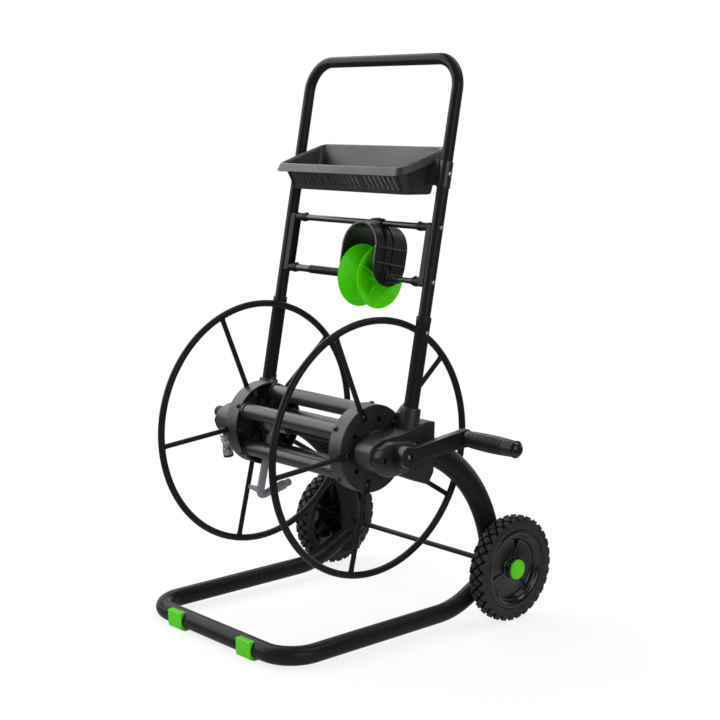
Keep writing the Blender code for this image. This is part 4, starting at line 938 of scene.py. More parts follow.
def makeCap(place, name):
    start, radius = wheel["hubOut"] + snug, wheel["cap"]
    end = start + wheel["capDepth"]
    cap = [(0, end), (radius - 0.0022, end)] + roundRim(radius, end, wheel["capRim"])[1:]
    cap += [(radius, start + 0.0004), (radius - 0.0004, start), (0, start)]
    piece("wheelCap_" + name, placed(spun(cap, 48), place), "leafGreen", "wheel_" + name, "green_plastic",
          "wheel_cap_" + name)


def makeAxle():
    end = wheel["x"] + wheel["hubOut"] - 0.0010
    piece("axleBar", placed(rod(wheel["axle"], -end, end, 32, 0.0006), onAxle, alongX), *frameSteel,
          "wheel_axle")


for wheelSide, wheelName in sides:
    wheelPlace = onAxle @ at(wheelSide * wheel["x"]) @ turn(wheelSide * quarter, "Y")
    for make in (makeTyre, makeRim, makeCap):
        make(wheelPlace, wheelName)
makeAxle()
print("wheels made")


# reel: hub discs, drum tubes, side rings and shaft
reel = {
    "discFace": 0.1754,
    "discRadius": 0.0844,
    "discDepth": 0.0344,
    "discWeb": 0.0035,
    "discWall": 0.0034,
    "discHub": 0.0190,
    "ribLean": radians(17.0),
    "count": 5,
    "tubeCircle": 0.0650,
    "tubeAngle": radians(77.75),
    "tubeRadius": 0.0160,
    "tubeWall": 0.0015,
    "collarReach": 0.0404,
    "collarWall": 0.0020,
    "squareHole": 0.0090,
    "squareCircle": 0.0570,
    "ringX": 0.17185,
    "ringRadius": 0.2435,
    "ringTube": 0.00675,
    "spoke": 0.0050,
    "spokeAngle": radians(41.75),
    "spokeInner": 0.0590,
    "spokeFlat": 0.0265,
    "spokeFade": 0.012,         # length over which the flat end turns round
    "pocketWall": 0.0022,
    "screwCircle": 0.0680,
    "screwBoss": (0.0066, 0.1490),
    "shaft": 0.0100,
    "shaftEnds": (-0.30625, 0.2700),
    "fittings": ((-0.1447, -0.1408), (-0.1192, -0.0760)),
    "threadPitch": 0.0024,
}


def round5(first):
    return [first + 2 * pi * index / reel["count"] for index in range(reel["count"])]


def makeDisc():
    face, radius, hub = reel["discFace"], reel["discRadius"], reel["discHub"]
    inner, web = face - reel["discDepth"], face - reel["discWeb"]
    core, well = reel["shaft"] + snug, radius - reel["discWall"]
    profile = [(core, face), (radius - 0.0020, face), (radius - 0.0009, face - 0.0003),
               (radius - 0.0003, face - 0.0009), (radius, face - 0.0020), (radius, inner + 0.0010),
               (radius - 0.0003, inner + 0.0003), (radius - 0.0010, inner), (well + 0.0006, inner),
               (well, inner + 0.0006), (well, web - 0.0010), (well - 0.0010, web), (hub + 0.0010, web),
               (hub, web - 0.0010), (hub, inner + 0.0046), (hub - 0.0006, inner + 0.0040),
               (core, inner + 0.0040)]
    disc = placed(spun(profile, 96, True), alongX)
    socket, start, square = reel["tubeRadius"] + snug, face - reel["collarReach"], reel["squareHole"]
    joined, holes, ribs = [], [], []
    for angle in round5(reel["tubeAngle"]):
        place = spotAt(reel["tubeCircle"], angle)
        collar = rod(socket + reel["collarWall"], start, web + reel["discWeb"] / 2, 48, 0.0005)
        joined.append(placed(collar, place, alongX))
        holes.append(placed(rod(socket, start - 0.01, web - 0.001, 48), place, alongX))
        holes.append(placed(block(0.05, square, square), spotAt(reel["squareCircle"], angle, face),
                            turn(angle, "X")))
        for lean in (angle - reel["ribLean"], angle + reel["ribLean"]):
            plate = block(0.0080, radius - hub - 0.0010, 0.0014, 0.0002, 1)
            ribs.append(placed(plate, spotAt((radius + hub) / 2, lean, web - 0.0035), turn(lean, "X")))
    wide = 2.4 * reel["spoke"] + 0.0010
    deep = face - reel["ringX"] + reel["spoke"] * 0.55 + snug
    first, last, rib = reel["spokeInner"] - snug, radius - 0.001, reel["pocketWall"]
    bossRadius, bossStart = reel["screwBoss"]
    for angle in round5(reel["spokeAngle"]):
        shell = block(deep + rib, last - first + rib, wide + 2 * rib, 0.0006)
        middle, out = (first - rib + last) / 2, face - 0.0004 - (deep + rib) / 2
        joined.append(placed(shell, spotAt(middle, angle, out), turn(angle, "X")))
        boss = rod(bossRadius, bossStart, face - 0.004, 24, 0.0008)
        joined.append(placed(boss, spotAt(reel["screwCircle"], angle), alongX))
        slot = block(2 * deep, radius + 0.02 - first, wide)
        holes.append(placed(slot, spotAt((first + radius + 0.02) / 2, angle, face), turn(angle, "X")))
    disc = shaped(shaped(disc, "UNION", *joined), "DIFFERENCE", *holes)
    pair("hubDisc", gathered(disc, *ribs), onReel, "mouldedBlack", "reel", "black_plastic", "hub_disc",
         weighted=True)


def makeDrumTubes():
    end = reel["discFace"] - reel["discWeb"] - 0.0013
    for index, angle in enumerate(round5(reel["tubeAngle"]), 1):
        tube = sleeve(reel["tubeRadius"], reel["tubeRadius"] - reel["tubeWall"], -end, end, 48, 0.0004)
        piece("drumTube_" + str(index), placed(tube, onReel, spotAt(reel["tubeCircle"], angle), alongX),
              "drumGrey", "reel", "drum_steel", "drum_tube_" + str(index))


def makeRings():
    circle = [(0.0, *polar(reel["ringRadius"], 2 * pi * step / 144)) for step in range(144)]
    forms = [swept(circle, reel["ringTube"], 20, True)]
    start, fade = reel["spokeInner"], reel["spokeFade"]
    flat, end = start + reel["spokeFlat"], reel["ringRadius"] - reel["ringTube"] * 0.4
    # height along the spoke and its size there: it widens into the ring like a weld
    stations = ((start, 0.86), (start + 0.0012, 1.0), (flat, 1.0), (flat + 0.003, 1.0), (flat + 0.006, 1.0),
                (flat + 0.009, 1.0), (flat + fade, 1.0), (end - 0.0120, 1.0), (end - 0.0070, 1.04),
                (end - 0.0042, 1.14), (end - 0.0022, 1.34), (end, 1.7))
    for angle in round5(reel["spokeAngle"]):
        spoke = swept([(0, 0, level) for level, _ in stations], reel["spoke"], 20,
                      sizes=[size for _, size in stations])
        for vert in spoke.verts:
            share = clamped((flat + fade - vert.co.z) / fade)
            share = share * share * (3 - 2 * share)
            vert.co.x *= 1 - 0.5 * share
            vert.co.y *= 1 + 0.2 * share
        forms.append(placed(spoke, turn(angle - quarter, "X")))
    pair("sideRing", placed(gathered(*forms), at(reel["ringX"])), onReel, "powderBlack", "reel",
         "black_steel", "side_ring")


def makeShaft():
    radius, pitch = reel["shaft"], reel["threadPitch"]
    piece("reelShaft", placed(rod(radius, *reel["shaftEnds"], 40, 0.0008), onReel, alongX), "powderBlack",
          "reel", "nickel", "reel_shaft")
    fittings = []
    for start, end in reel["fittings"]:
        profile = [(radius + 0.0001, start), (radius + 0.0022, start)]
        for index in range(int((end - start) / pitch)):
            spot = start + pitch * (index + 0.25)
            profile += [(radius + 0.0026, spot), (radius + 0.0026, spot + 0.0008),
                        (radius + 0.0018, spot + 0.0012)]
        fittings.append(spun(profile + [(radius + 0.0022, end), (radius + 0.0001, end)], 40, True))
    piece("shaftFittings", placed(gathered(*fittings), onReel, alongX), "zinc", "reel", "nickel")


makeDisc()
makeDrumTubes()
makeRings()
makeShaft()
print("reel made")


# hub brackets and their covers
bracket = {
    "inner": 0.1910,
    "outer": 0.2350,
    "unit": 0.0100,         # what the outlines are counted in: Y, Z from the reel's axis, corner radius
    "corners": ((-6.55, -0.95, 1.4), (-6.40, 1.80, 1.9), (-3.60, 3.15, 3.0), (1.40, 3.50, 8.0),
                (8.00, 5.15, 1.0), (10.25, 5.00, 0.4), (10.20, -4.90, 1.5), (8.75, -7.15, 0.9),
                (0.60, -4.05, 3.0), (-2.00, -3.95, 4.0), (-4.90, -2.75, 2.0)),
    "coverCorners": ((-6.60, 0.00, 1.0), (-5.90, 1.55, 1.5), (-2.60, 2.90, 4.0), (3.80, 2.25, 3.0),
                     (6.10, 0.90, 1.6), (5.30, -2.20, 2.0), (3.00, -3.85, 2.5), (-1.60, -4.30, 5.0),
                     (-4.60, -3.20, 2.5), (-6.10, -1.40, 2.0)),
    "coverDepth": 0.0150,
    # share of the cover's depth, share of its outline
    "coverCurve": ((0.0, 0.950), (0.06, 0.950), (0.065, 0.992), (0.09, 1.0), (0.16, 0.998), (0.24, 0.987),
                   (0.36, 0.962), (0.52, 0.915), (0.66, 0.855), (0.78, 0.780), (0.87, 0.700),
                   (0.94, 0.610), (0.98, 0.520), (1.0, 0.420)),
    "coverScrew": (-0.0400, -0.0057),
    "bearing": 0.0375,
    "seam": 0.1872,
    "socketWall": 0.0050,
    "socketBottom": 0.0200,
    "socketTop": 0.0790,
    "gussetX": 0.2035,
    "gussetDepth": 0.0220,
    # across and along the upright
    "gusset": ((0.0030, 0.0300), (0.0030, 0.0895), (-0.0100, 0.0768), (-0.0174, 0.0660), (-0.0110, 0.0300)),
    # the groove that sets off the rear of the outer face, and the hook it ends in
    "groove": ((0.0795, 0.0560), (0.0795, 0.0200), (0.0795, -0.0150), (0.0790, -0.0225),
               (0.0765, -0.0275), (0.0710, -0.0308), (0.0630, -0.0330), (0.0560, -0.0365),
               (0.0520, -0.0410), (0.0505, -0.0470)),
    "grooveWidth": 0.0015,
    "line": (0.0740, 0.0150, 0.0860),       # the thin line before that groove: Y, Z of its middle, length
}


def inUnits(corners):
    return [[value * bracket["unit"] for value in corner] for corner in corners]


def makeBrackets():
    outer, inner, x = bracket["outer"], bracket["inner"], at(cart["sideX"])
    outline = rounded(inUnits(bracket["corners"]), 10)
    form = placed(slab(outline, outer - inner, 0.0016, 3), at((outer + inner) / 2), sideOn)
    toUpright, toCart = onReel.inverted() @ onUpright, onReel.inverted() @ onCart
    bore = uprights["lowerRadius"] + snug
    socket = rod(bore + bracket["socketWall"], bracket["socketBottom"], bracket["socketTop"], 64, 0.0016)
    gusset = slab(bracket["gusset"], bracket["gussetDepth"], 0.0010, 3)
    wide, seam, start, end = bracket["bearing"], bracket["seam"], reel["discFace"] + 0.0014, inner + 0.004
    boss = spun([(0, end), (wide, end), (wide, seam + 0.0008), (wide - 0.0008, seam), (wide - 0.0022, seam),
                 (wide - 0.0022, seam - 0.0014), (wide - 0.0008, seam - 0.0014), (wide, seam - 0.0022),
                 (wide, start + 0.0012), (wide - 0.0012, start), (0, start)], 72)
    form = shaped(form, "UNION", placed(socket, toUpright, x),
                  placed(gusset, toUpright, at(bracket["gussetX"]), sideOn), placed(boss, alongX))
    arm = ovalTube(arch["width"] + 2 * snug, arch["depth"] + 2 * snug, archPath(snug))
    groove = swept([(outer, y, z) for y, z in bracket["groove"]], bracket["grooveWidth"], 12)
    lineY, lineZ, lineLength = bracket["line"]
    form = shaped(form, "DIFFERENCE",
                  placed(rod(bore, uprights["lowerFoot"] - snug, 0.1490, 48), toUpright, x),
                  placed(rod(reel["shaft"] + free, 0.1600, 0.2580, 40), alongX), placed(arm, toCart, x),
                  groove, placed(block(0.0016, 0.0007, lineLength), at(outer, lineY, lineZ)))
    pair("hubBracket", form, onReel, "mouldedBlack", "chassis", "black_plastic", "hub_bracket",
         weighted=True)


def makeCovers():
    outline = rounded(inUnits(bracket["coverCorners"]))
    foot = bracket["outer"] + snug
    cover = skinned([[(foot + out * bracket["coverDepth"], y * share, z * share) for y, z in outline]
                     for out, share in bracket["coverCurve"]])
    cover = shaped(cover, "DIFFERENCE", placed(rod(reel["shaft"] + free, 0.1910, 0.2735, 40), alongX),
                   placed(rod(0.0058, 0.2380, 0.2600), at(0, *bracket["coverScrew"]), alongX))
    pair("bearingCover", cover, onReel, "satinBlack", "chassis", "black_plastic", "bearing_cover")


makeBrackets()
makeCovers()
print("hub brackets and covers made")


# tray and its collars
tray = {
    "half": 0.1690,
    "floorZ": 0.8490,
    "front": 0.0770,
    "back": 0.1520,
    "flare": 0.0065,
    "lipFront": 0.0550,
    "lipBack": 0.1700,
    "lipFrontRise": 0.0490,
    "lipBackRise": 0.0880,
    "corner": 0.0150,
    "lipCorner": 0.0130,
    # how far the foot's corner is drawn in, its height
    "foot": ((0.0110, 0.0), (0.0060, 0.0), (0.0034, 0.0004), (0.0014, 0.0016), (0.0, 0.0040)),
    # the lip rolls over from the wall to the skirt: outwards, downwards
    "lip": ((-0.0008, 0.0030), (0.0, 0.0012), (0.0009, 0.0003), (0.0020, 0.0), (0.0030, 0.0004),
            (0.0038, 0.0016)),
    "skirt": 0.0085,
    "skirtDrop": 0.0140,
    "wall": 0.0024,
    "slotWidth": 0.0056,
    "slotLength": 0.0290,
    "slotPitch": 0.0133,
    "slotHeight": 0.42,         # as a share of the front
    "groupPitch": 0.1056,
    "slotSlant": radians(12.0),
    "collarBottom": 0.4978,
    "collarTop": 0.5465,
    "collarWall": 0.0012,
    "collarRib": (0.0022, 0.0060, 0.0447),
}


def trayRing(half, front, back, frontZ, backZ, corner):
    outline = rounded([(-half, front, corner), (half, front, corner), (half, back, corner),
                       (-half, back, corner)])
    return [(x, y, frontZ + (backZ - frontZ) * (y - front) / (back - front)) for x, y in outline]


def makeTray():
    floor, half, foot = tray["floorZ"], tray["half"], tray["front"]
    frontZ, backZ = floor + tray["lipFrontRise"], floor + tray["lipBackRise"]
    front, back, lip, skirt = tray["lipFront"], tray["lipBack"], half + tray["flare"], tray["skirt"]
    rings = []
    for shrink, rise in tray["foot"]:
        rings.append(trayRing(half - shrink, foot + shrink, tray["back"] - shrink, floor + rise,
                              floor + rise, tray["corner"] - shrink * 0.5))
    for out, drop in tray["lip"]:
        rings.append(trayRing(lip + out, front - out, back + out, frontZ - drop, backZ - drop,
                              tray["lipCorner"]))
    rings.append(trayRing(lip + skirt, front - skirt, back + skirt, frontZ - tray["skirtDrop"],
                          backZ - tray["skirtDrop"], tray["corner"]))
    shell = loose("shell", skinned(rings, capLast=False))
    wall = shell.modifiers.new("wall", "SOLIDIFY")
    wall.thickness = tray["wall"]
    wall.offset = 1.0
    wall.use_even_offset = True
    form = placed(settled(shell), onCart)
    inner = uprights["middleRadius"] + snug
    collar = inner + tray["collarWall"]
    reach, start = cart["sideX"] - collar - snug, half + 0.0045
    high = tray["collarTop"] - tray["collarBottom"] - 0.0010
    middle = (tray["collarTop"] + tray["collarBottom"] + 0.0070) / 2
    for side, _ in sides:
        ear = block(reach - start, 0.0150, high, 0.0010)
        form = shaped(form, "UNION", placed(ear, onUpright, at(side * (reach + start) / 2, 0, middle)))
    slope = atan2(foot - front, frontZ - floor)
    share = tray["slotHeight"]
    slots = []
    for group in (-1, 0, 1):
        for index in range(-3, 4):
            place = at(group * tray["groupPitch"] + index * tray["slotPitch"],
                       foot + (front - foot) * share, floor + (frontZ - floor) * share)
            slots.append(placed(block(tray["slotWidth"], 0.0120, tray["slotLength"], 0.0014), onCart, place,
                                turn(-tray["slotSlant"], "Y"), turn(slope, "X")))
    forms = [shaped(form, "DIFFERENCE", *slots)]
    # a thin rib on the front wall near each end
    for side, _ in sides:
        rib = skinned([[(0, -deep, z), (0.0016, -deep, z), (0.0016, deep, z), (0, deep, z)]
                       for deep, z in ((0.0026, -0.0190), (0.0016, 0.0190))])
        forms.append(placed(rib, onCart, at(side * (half - 0.0120), foot - 0.0110, floor + 0.0230),
                            turn(slope, "X")))
    piece("trayShell", gathered(*forms), "trayBlack", "chassis", "black_plastic", "tray", weighted=True)
    rib = placed(block(*tray["collarRib"], 0.0005), at(0.0002 - collar, -0.0040, 0.52215))
    whole = gathered(sleeve(collar, inner, tray["collarBottom"], tray["collarTop"]), rib)
    pair("trayCollar", placed(whole, at(cart["sideX"])), onUpright, "satinBlack", "chassis", "black_plastic",
         "tray_collar")


makeTray()
print("tray made")


# hose guide that slides on the two rods
hood = {
    "x": 0.0507,
    "width": 0.0985,
    "depth": 0.0840,
    "wall": 0.0035,
    "top": 0.4200,
    "drop": 0.0170,
    "ridge": 0.0014,
    "ridgeWidth": 0.0018,
    "channels": (-0.0180, 0.0025),
    "channelWidth": 0.0034,
    "channelDepth": 0.0018,
    "crossRibs": (0.0572, 0.0267),      # above the bar's axis
    "crossRibRadius": 0.0019,
    "crossRibReach": 0.46,              # as a share of the depth, to each side
    "saddleLength": 0.0340,
    "saddleWall": 0.0036,
}
roller = {
    "radius": 0.0620,
    "length": 0.0570,
    "neck": 0.0270,
    "waist": 1.7,                       # power of the curve between neck and rim
    "wall": 0.0026,
    "hubWall": 0.0030,
    "fins": 4,
    "finTurn": radians(-24.0),
    "finSpots": (0.72, 0.64, 0.56, 0.50),
}
onGuide = onUpright @ at(hood["x"], 0, guide["barS"])


def strap(half, thickness, top, bottom):
    # an upside-down U
    inner = half - thickness
    outline = [(half, bottom)] + arc(0, top - half, half, 0, pi, 40) + [(-half, bottom), (-inner, bottom)]
    return outline + arc(0, top - half, inner, pi, 0, 40) + [(inner, bottom)]


def makeHood():
    wide, depth, ridge = hood["width"], hood["depth"], hood["ridge"]
    half, top, rodZ = wide / 2, hood["top"] - guide["barS"], guide["rodS"] - guide["barS"]
    form = placed(slab(strap(half, hood["wall"], top, -hood["drop"] - 0.01), depth), standing)
    outline = strap(half + ridge, ridge + hood["wall"] / 2, top + ridge, -0.004)
    beside = (hood["channelWidth"] + hood["ridgeWidth"]) / 2
    extra = [placed(slab(outline, hood["ridgeWidth"], 0.0004, 1), at(0, y + beside), standing)
             for y in hood["channels"]]
    # the cross ribs are a piece of their own in the tray's lighter, glossier finish, so that they read as
    # light lines across the channels: their lighter colour against the hood is a painted highlight, their
    # gloss is real
    reach = depth * hood["crossRibReach"]
    bars = [placed(rod(hood["crossRibRadius"], -reach, reach, 20, 0.0006),
                   at(side * (half + 0.0002), 0, level), standing)
            for level in hood["crossRibs"] for side, _ in sides]
    piece("hoodCrossRibs", placed(gathered(*bars), onGuide), "trayBlack", "hose_guide", "black_plastic")
    saddle, reach = guide["rodRadius"] + free + hood["saddleWall"], hood["saddleLength"] / 2
    dome = [(saddle * (0.80 + 0.20 * v), reach * u) for u, v in arc(0, 0, 1, 0, pi, 12)]
    extra.append(placed(spun([(0, reach)] + dome + [(0, -reach)], 40), at(z=rodZ), alongX))
    extra.append(placed(rod(saddle * 1.04, 0.0030, 0.0048, 40, 0.0004), at(z=rodZ), alongX))
    form = shaped(form, "UNION", *extra)
    outline = strap(half + 0.0300, 0.0300 + hood["channelDepth"], top + 0.0300, -0.0020)
    form = shaped(form, "DIFFERENCE", *[placed(slab(outline, hood["channelWidth"]), at(0, y), standing)
                                        for y in hood["channels"]])
    radius = depth / 2
    leg = [(radius, top + 0.05), (-radius, top + 0.05)]
    leg += arc(0, radius - hood["drop"], radius, pi, 2 * pi, 36)
    form = shaped(form, "INTERSECT", placed(slab(leg, wide + 0.02), sideOn))
    form = shaped(form, "DIFFERENCE", placed(rod(guide["ribRadius"] + free, -wide, wide, 40), alongX),
                  placed(rod(guide["rodRadius"] + free, -wide, wide, 40), at(z=rodZ), alongX))
    boss = placed(sleeve(guide["ribRadius"] + 0.0040, guide["ribRadius"] + 0.0006, half - 0.0030,
                         half + 0.0011, 40, 0.0004), alongX)
    whole = gathered(placed(form, onGuide), bothSides(onGuide, boss))
    piece("guideHood", whole, "gripBlack", "hose_guide", "black_plastic", "guide_hood", weighted=True)


def rollerRadius(out):
    share = abs(out) / (roller["length"] / 2)
    return roller["neck"] + (roller["radius"] - roller["neck"]) * share ** roller["waist"]


def makeRoller():
    half, edge, wall = roller["length"] / 2, roller["radius"], roller["wall"]
    inner = guide["ribRadius"] + free
    hub = inner + roller["hubWall"]
    levels = [half * (0.96 - 0.96 * step / 22) for step in range(23)]
    outer = [(rollerRadius(level), level) for level in levels]
    outer += [(radius, -level) for radius, level in reversed(outer[:-1])]
    levels = [half * (1.0 - 0.55 * step / 11) for step in range(12)]
    hollow = [(rollerRadius(level) - wall * 1.3, level) for level in levels]
    root = levels[-1] - 0.0040
    top = [(inner, half - 0.0005), (inner + 0.0005, half), (hub - 0.0006, half), (hub, half - 0.0006),
           (hub, root + 0.0012), (hub + 0.0012, root)] + hollow[::-1]
    top += [(edge - 0.0026, half), (edge - 0.0014, half), (edge - 0.0006, half - 0.0005),
            (edge - 0.0004, half - 0.0012)]
    bottom = [(radius, -level) for radius, level in reversed(top)]
    body = placed(spun(top + outer + bottom, 96, True), onGuide, alongX)
    fin = [(hub - 0.0008, root - 0.0010), (hub - 0.0008, half - 0.0040)]
    fin += [(rollerRadius(half * share) - wall, half * share) for share in roller["finSpots"]]
    fin = slab(fin, 0.0018)
    angles = [roller["finTurn"] + 2 * pi * index / roller["fins"] for index in range(roller["fins"])]
    fins = bothSides(onGuide, *[doubled(fin, alongX, turn(angle, "Z"), standing) for angle in angles])
    fin.free()
    piece("guideRoller", gathered(body, fins), "glossGreen", "roller", "green_plastic", "guide_roller")


makeHood()
makeRoller()
print("hose guide made")


# water way: outlet inside the reel, swivelling inlet on its left
water = {
    "outletX": -0.1300,
    "pipe": 0.0080,
    "reach": 0.1500,
    "elbow": 0.0150,
    "collar": 0.0155,
    "collarLength": 0.0210,
    "rise": radians(14.0),
    "stub": 0.0300,
    # the arm's half width and half depth, then its stations: share of the length, size
    "arm": (0.0058, 0.0042),
    "armStations": ((0.0, 1.25), (0.35, 1.0), (0.75, 0.78), (0.9726, 0.74), (1.0, 0.66)),
    "tipLength": 0.0520,
    "tipRadius": 0.0098,
    # shares of the tip's radius and length, over and under its grooves
    "tipTop": ((0.5, 1.0), (0.66, 1.0), (0.74, 0.98846), (0.78, 0.96538), (0.78, 0.74),
               (0.86, 0.71), (0.97, 0.69), (1.0, 0.66)),
    "tipFoot": ((1.0, 0.16), (0.93, 0.10), (0.86, 0.05), (0.86, 0.0), (0.3, 0.0), (0.5, 0.6)),
    "inletX": -0.3000,
    "barrel": 0.0125,
    "tilt": radians(11.0),
    "leg": 0.0440,
    "legRadius": 0.0092,
    "connector": 0.0560,
    "connectorRadius": 0.0108,
    # the same for the inlet's connector, whose length is measured downwards
    "connectorTop": ((0.0, 0.0), (0.70, 0.0), (0.80, 0.01786), (0.92, 0.08), (1.03, 0.11), (1.05, 0.14)),
    "connectorFoot": ((1.05, 0.33), (0.98, 0.37), (0.84, 0.43), (0.82, 0.46), (0.82, 0.58), (0.86, 0.62),
                      (0.97, 0.66), (1.0, 0.69), (1.0, 0.90), (0.62, 0.90), (0.62, 0.72), (0.0, 0.72)),
}


def stretched(shares, radius, length):
    return [(radius * out, length * along) for out, along in shares]


def makeOutlet():
    angle = round5(reel["spokeAngle"])[3]
    reach, elbow, stub, x = water["reach"], water["elbow"], water["stub"], water["outletX"]
    corner = Vector((0, *polar(reach, angle)))
    down = Vector((0, *polar(1, angle)))
    along = Vector((0, *polar(1, water["rise"])))
    path = [down * 0.0115, down * 0.05, down * (reach - elbow * 1.3)]
    first, last = corner - down * elbow, corner + along * elbow * 1.1
    for share in [step / 10 for step in range(1, 10)]:
        path.append(first.lerp(corner, share).lerp(corner.lerp(last, share), share))
    path += [last, corner + along * (stub - 0.002), corner + along * stub]
    pipe = placed(swept(path, water["pipe"], 32), at(x))
    half = water["collarLength"] / 2
    collar = placed(sleeve(water["collar"], reel["shaft"] + snug, -half, half, 48, 0.0010), at(x), alongX)
    # an arm that tapers to a clasp round the spoke beside it
    length = x + reel["ringX"] - reel["spoke"] - snug
    y, z = water["arm"]
    outline = rounded([(-y, -z, 0.0020), (y, -z, 0.0020), (y, z, 0.0020), (-y, z, 0.0020)], 4)
    arm = skinned([[(-length * share, y * size, z * size) for y, z in outline]
                   for share, size in water["armStations"]])
    arm = placed(arm, spotAt(reach - 0.0140, angle, x), turn(angle, "X"))
    nut = placed(sleeve(0.0104, water["pipe"] - 0.0002, 0.0, 0.0060, 6, 0.0006), onReel, at(x),
                 turn(angle - quarter, "X"), at(z=water["collar"] - 0.0005))
    piece("outletPipe", placed(gathered(pipe, collar, arm), onReel), "pipeGrey", "reel", "grey_plastic",
          "outlet_pipe", 45.0)
    piece("outletNut", nut, "zinc", "reel", "nickel", sharp=45.0)
    radius, length = water["tipRadius"], water["tipLength"]
    profile = stretched(water["tipTop"], radius, length)
    profile += grooved(radius, radius * 0.93, (0.58, 0.50, 0.42, 0.34, 0.26), (0.014, 0.034, 0.048), length)
    profile += stretched(water["tipFoot"], radius, length)
    tip = placed(spun(profile, 40, True), onReel, at(x, *(corner + along * (stub + snug)).yz),
                 turn(water["rise"] - quarter, "X"))
    piece("outletConnector", tip, "pipeGrey", "reel", "grey_plastic", "outlet_connector", 45.0)


def makeInlet():
    place = onReel @ at(water["inletX"]) @ turn(water["tilt"], "X")
    r, inner = water["barrel"], reel["shaft"] + free
    end = 0.0010 - r
    profile = [(0, end), (r - 0.0030, end), (r - 0.0012, end + 0.0006), (r - 0.0003, end + 0.0020),
               (r, end + 0.0040), (r, 0.0150), (r - 0.0010, 0.0160), (r - 0.0010, 0.0190), (r, 0.0200),
               (r, 0.0330), (r - 0.0008, 0.0340), (r - 0.0008, 0.0360), (r, 0.0370), (r, 0.0472),
               (r - 0.0008, 0.0480), (inner, 0.0480), (inner, -0.00655), (0, -0.00655)]
    piece("inletBarrel", placed(spun(profile), place, alongX), "powderBlack", "inlet", "nickel",
          "inlet_swivel", 45.0)
    r, foot = water["legRadius"], -water["leg"]
    stem = spun([(0, 0.0), (r, 0.0), (r, -0.0210), (r - 0.0012, -0.0222), (r - 0.0012, -0.0250),
                 (r + 0.0014, -0.0262), (r + 0.0014, -0.0300), (r, -0.0314), (r, foot + 0.0008),
                 (r - 0.0008, foot), (0, foot)])
    nut = sleeve(r + 0.0030, r - 0.0010, foot + 0.0030, foot + 0.0100, 6, 0.0006)
    piece("inletStem", placed(gathered(stem, nut), place), "nickel", "inlet", "nickel", sharp=45.0)
    place = place @ at(z=foot - snug)
    r, length = water["connectorRadius"], -water["connector"]
    profile = stretched(water["connectorTop"], r, length)
    profile += grooved(r * 1.05, r, (0.16, 0.21, 0.26), (-0.010, -0.022, -0.032), length)
    profile += stretched(water["connectorFoot"], r, length)
    piece("inletConnector", placed(spun(profile), place), "nickel", "inlet", "nickel",
          "inlet_connector", 45.0)
    ring = sleeve(r * 1.02, r * 0.64, length, length * 0.895, 48, 0.0008)
    piece("inletEndRing", placed(ring, place), "mouldedBlack", "inlet", "black_plastic")


makeOutlet()
makeInlet()
print("water way made")


# crank: arm, spindle, grip and its cap
crank = {
    "inner": 0.2580,
    "outer": 0.2735,
    "head": 0.0205,
    "collar": 0.0185,
    "throwY": 0.1500,
    "throwZ": 0.0168,
    "end": 0.0180,
    "neck": 0.0150,
    "widening": 0.0015,
    "flange": 0.0014,
    "recess": 0.0026,
    "edge": 0.0044,
    "gripEnd": 0.4090,
    "gripMiddle": 0.0175,
    "gripEnds": 0.0150,
    "capLength": 0.0120,
    "spindle": 0.0050,
    "ribs": 18,
    "ribDepth": 0.0022,
    "ribbed": (0.07, 0.80),             # where the ribs start and end, as shares of the length
    # share of one rib's pitch, share of the depth
    "rib": ((0.0, 0.1), (0.15, 0.0), (0.40, 0.0), (0.55, 0.8), (0.65, 1.0), (0.78, 1.0), (0.90, 0.7)),
    "plain": (0.805, 0.83, 0.86, 0.90, 0.93, 0.97),
    "smoothSide": (-1.0, -0.15),        # the side on which the ribs fade out
    "smoothStart": 0.80,
    "smoothLength": 0.18,
}


def makeArm():
    outer, inner, neck, head = crank["outer"], crank["inner"], crank["neck"], crank["head"]
    gripAxis = at(0, crank["throwY"], crank["throwZ"])
    throw = hypot(crank["throwY"], crank["throwZ"])
    tilted = turn(atan2(crank["throwZ"], crank["throwY"]), "X") @ sideOn
    wide = neck + crank["widening"]
    outline = arc(0, 0, head, radians(44), radians(316), 48)
    edge = [(throw - 0.016, wide + 0.0002), (throw - 0.036, wide), (0.0270, neck), (0.0190, neck + 0.0003)]
    outline += [(u, -v) for u, v in reversed(edge)]
    outline += arc(throw, 0, crank["end"], radians(-106), radians(106), 32) + edge
    form = placed(slab(outline, outer - inner, 0.0018, 3), at((outer + inner) / 2), tilted)
    start = bracket["outer"] + bracket["coverDepth"] + 0.0012
    form = shaped(form, "UNION", placed(rod(crank["collar"], start, inner + 0.004, 64, 0.0008), alongX),
                  placed(rod(crank["collar"] + crank["flange"], start, start + 0.0022, 64, 0.0006), alongX))
    near, far = neck - crank["edge"], wide - crank["edge"]
    pocket = rounded([(0.0230, -near, 0.0020), (throw - 0.0200, -far, 0.0060), (throw - 0.0200, far, 0.0060),
                      (0.0230, near, 0.0020)], 6)
    cuts = [placed(slab(pocket, 2 * crank["recess"], 0.0005, 1), at(x), tilted) for x in (outer, inner)]
    cuts += [placed(rod(reel["shaft"] + snug, 0.2400, 0.2703, 40), alongX),
             placed(rod(0.0073, outer - 0.0030, outer + 0.01, 40), alongX),
             placed(rod(crank["spindle"] + snug, 0.2400, 0.2900), gripAxis, alongX)]
    piece("crankArm", placed(shaped(form, "DIFFERENCE", *cuts), onReel), "satinBlack", "reel",
          "black_plastic", "crank_arm", weighted=True)


def swell(share):
    # the grip's radius without its ribs, at a share of its length
    ends, middle = crank["gripEnds"], crank["gripMiddle"]
    return ends + (middle - ends) * sin(pi * clamped(share)) ** 0.8


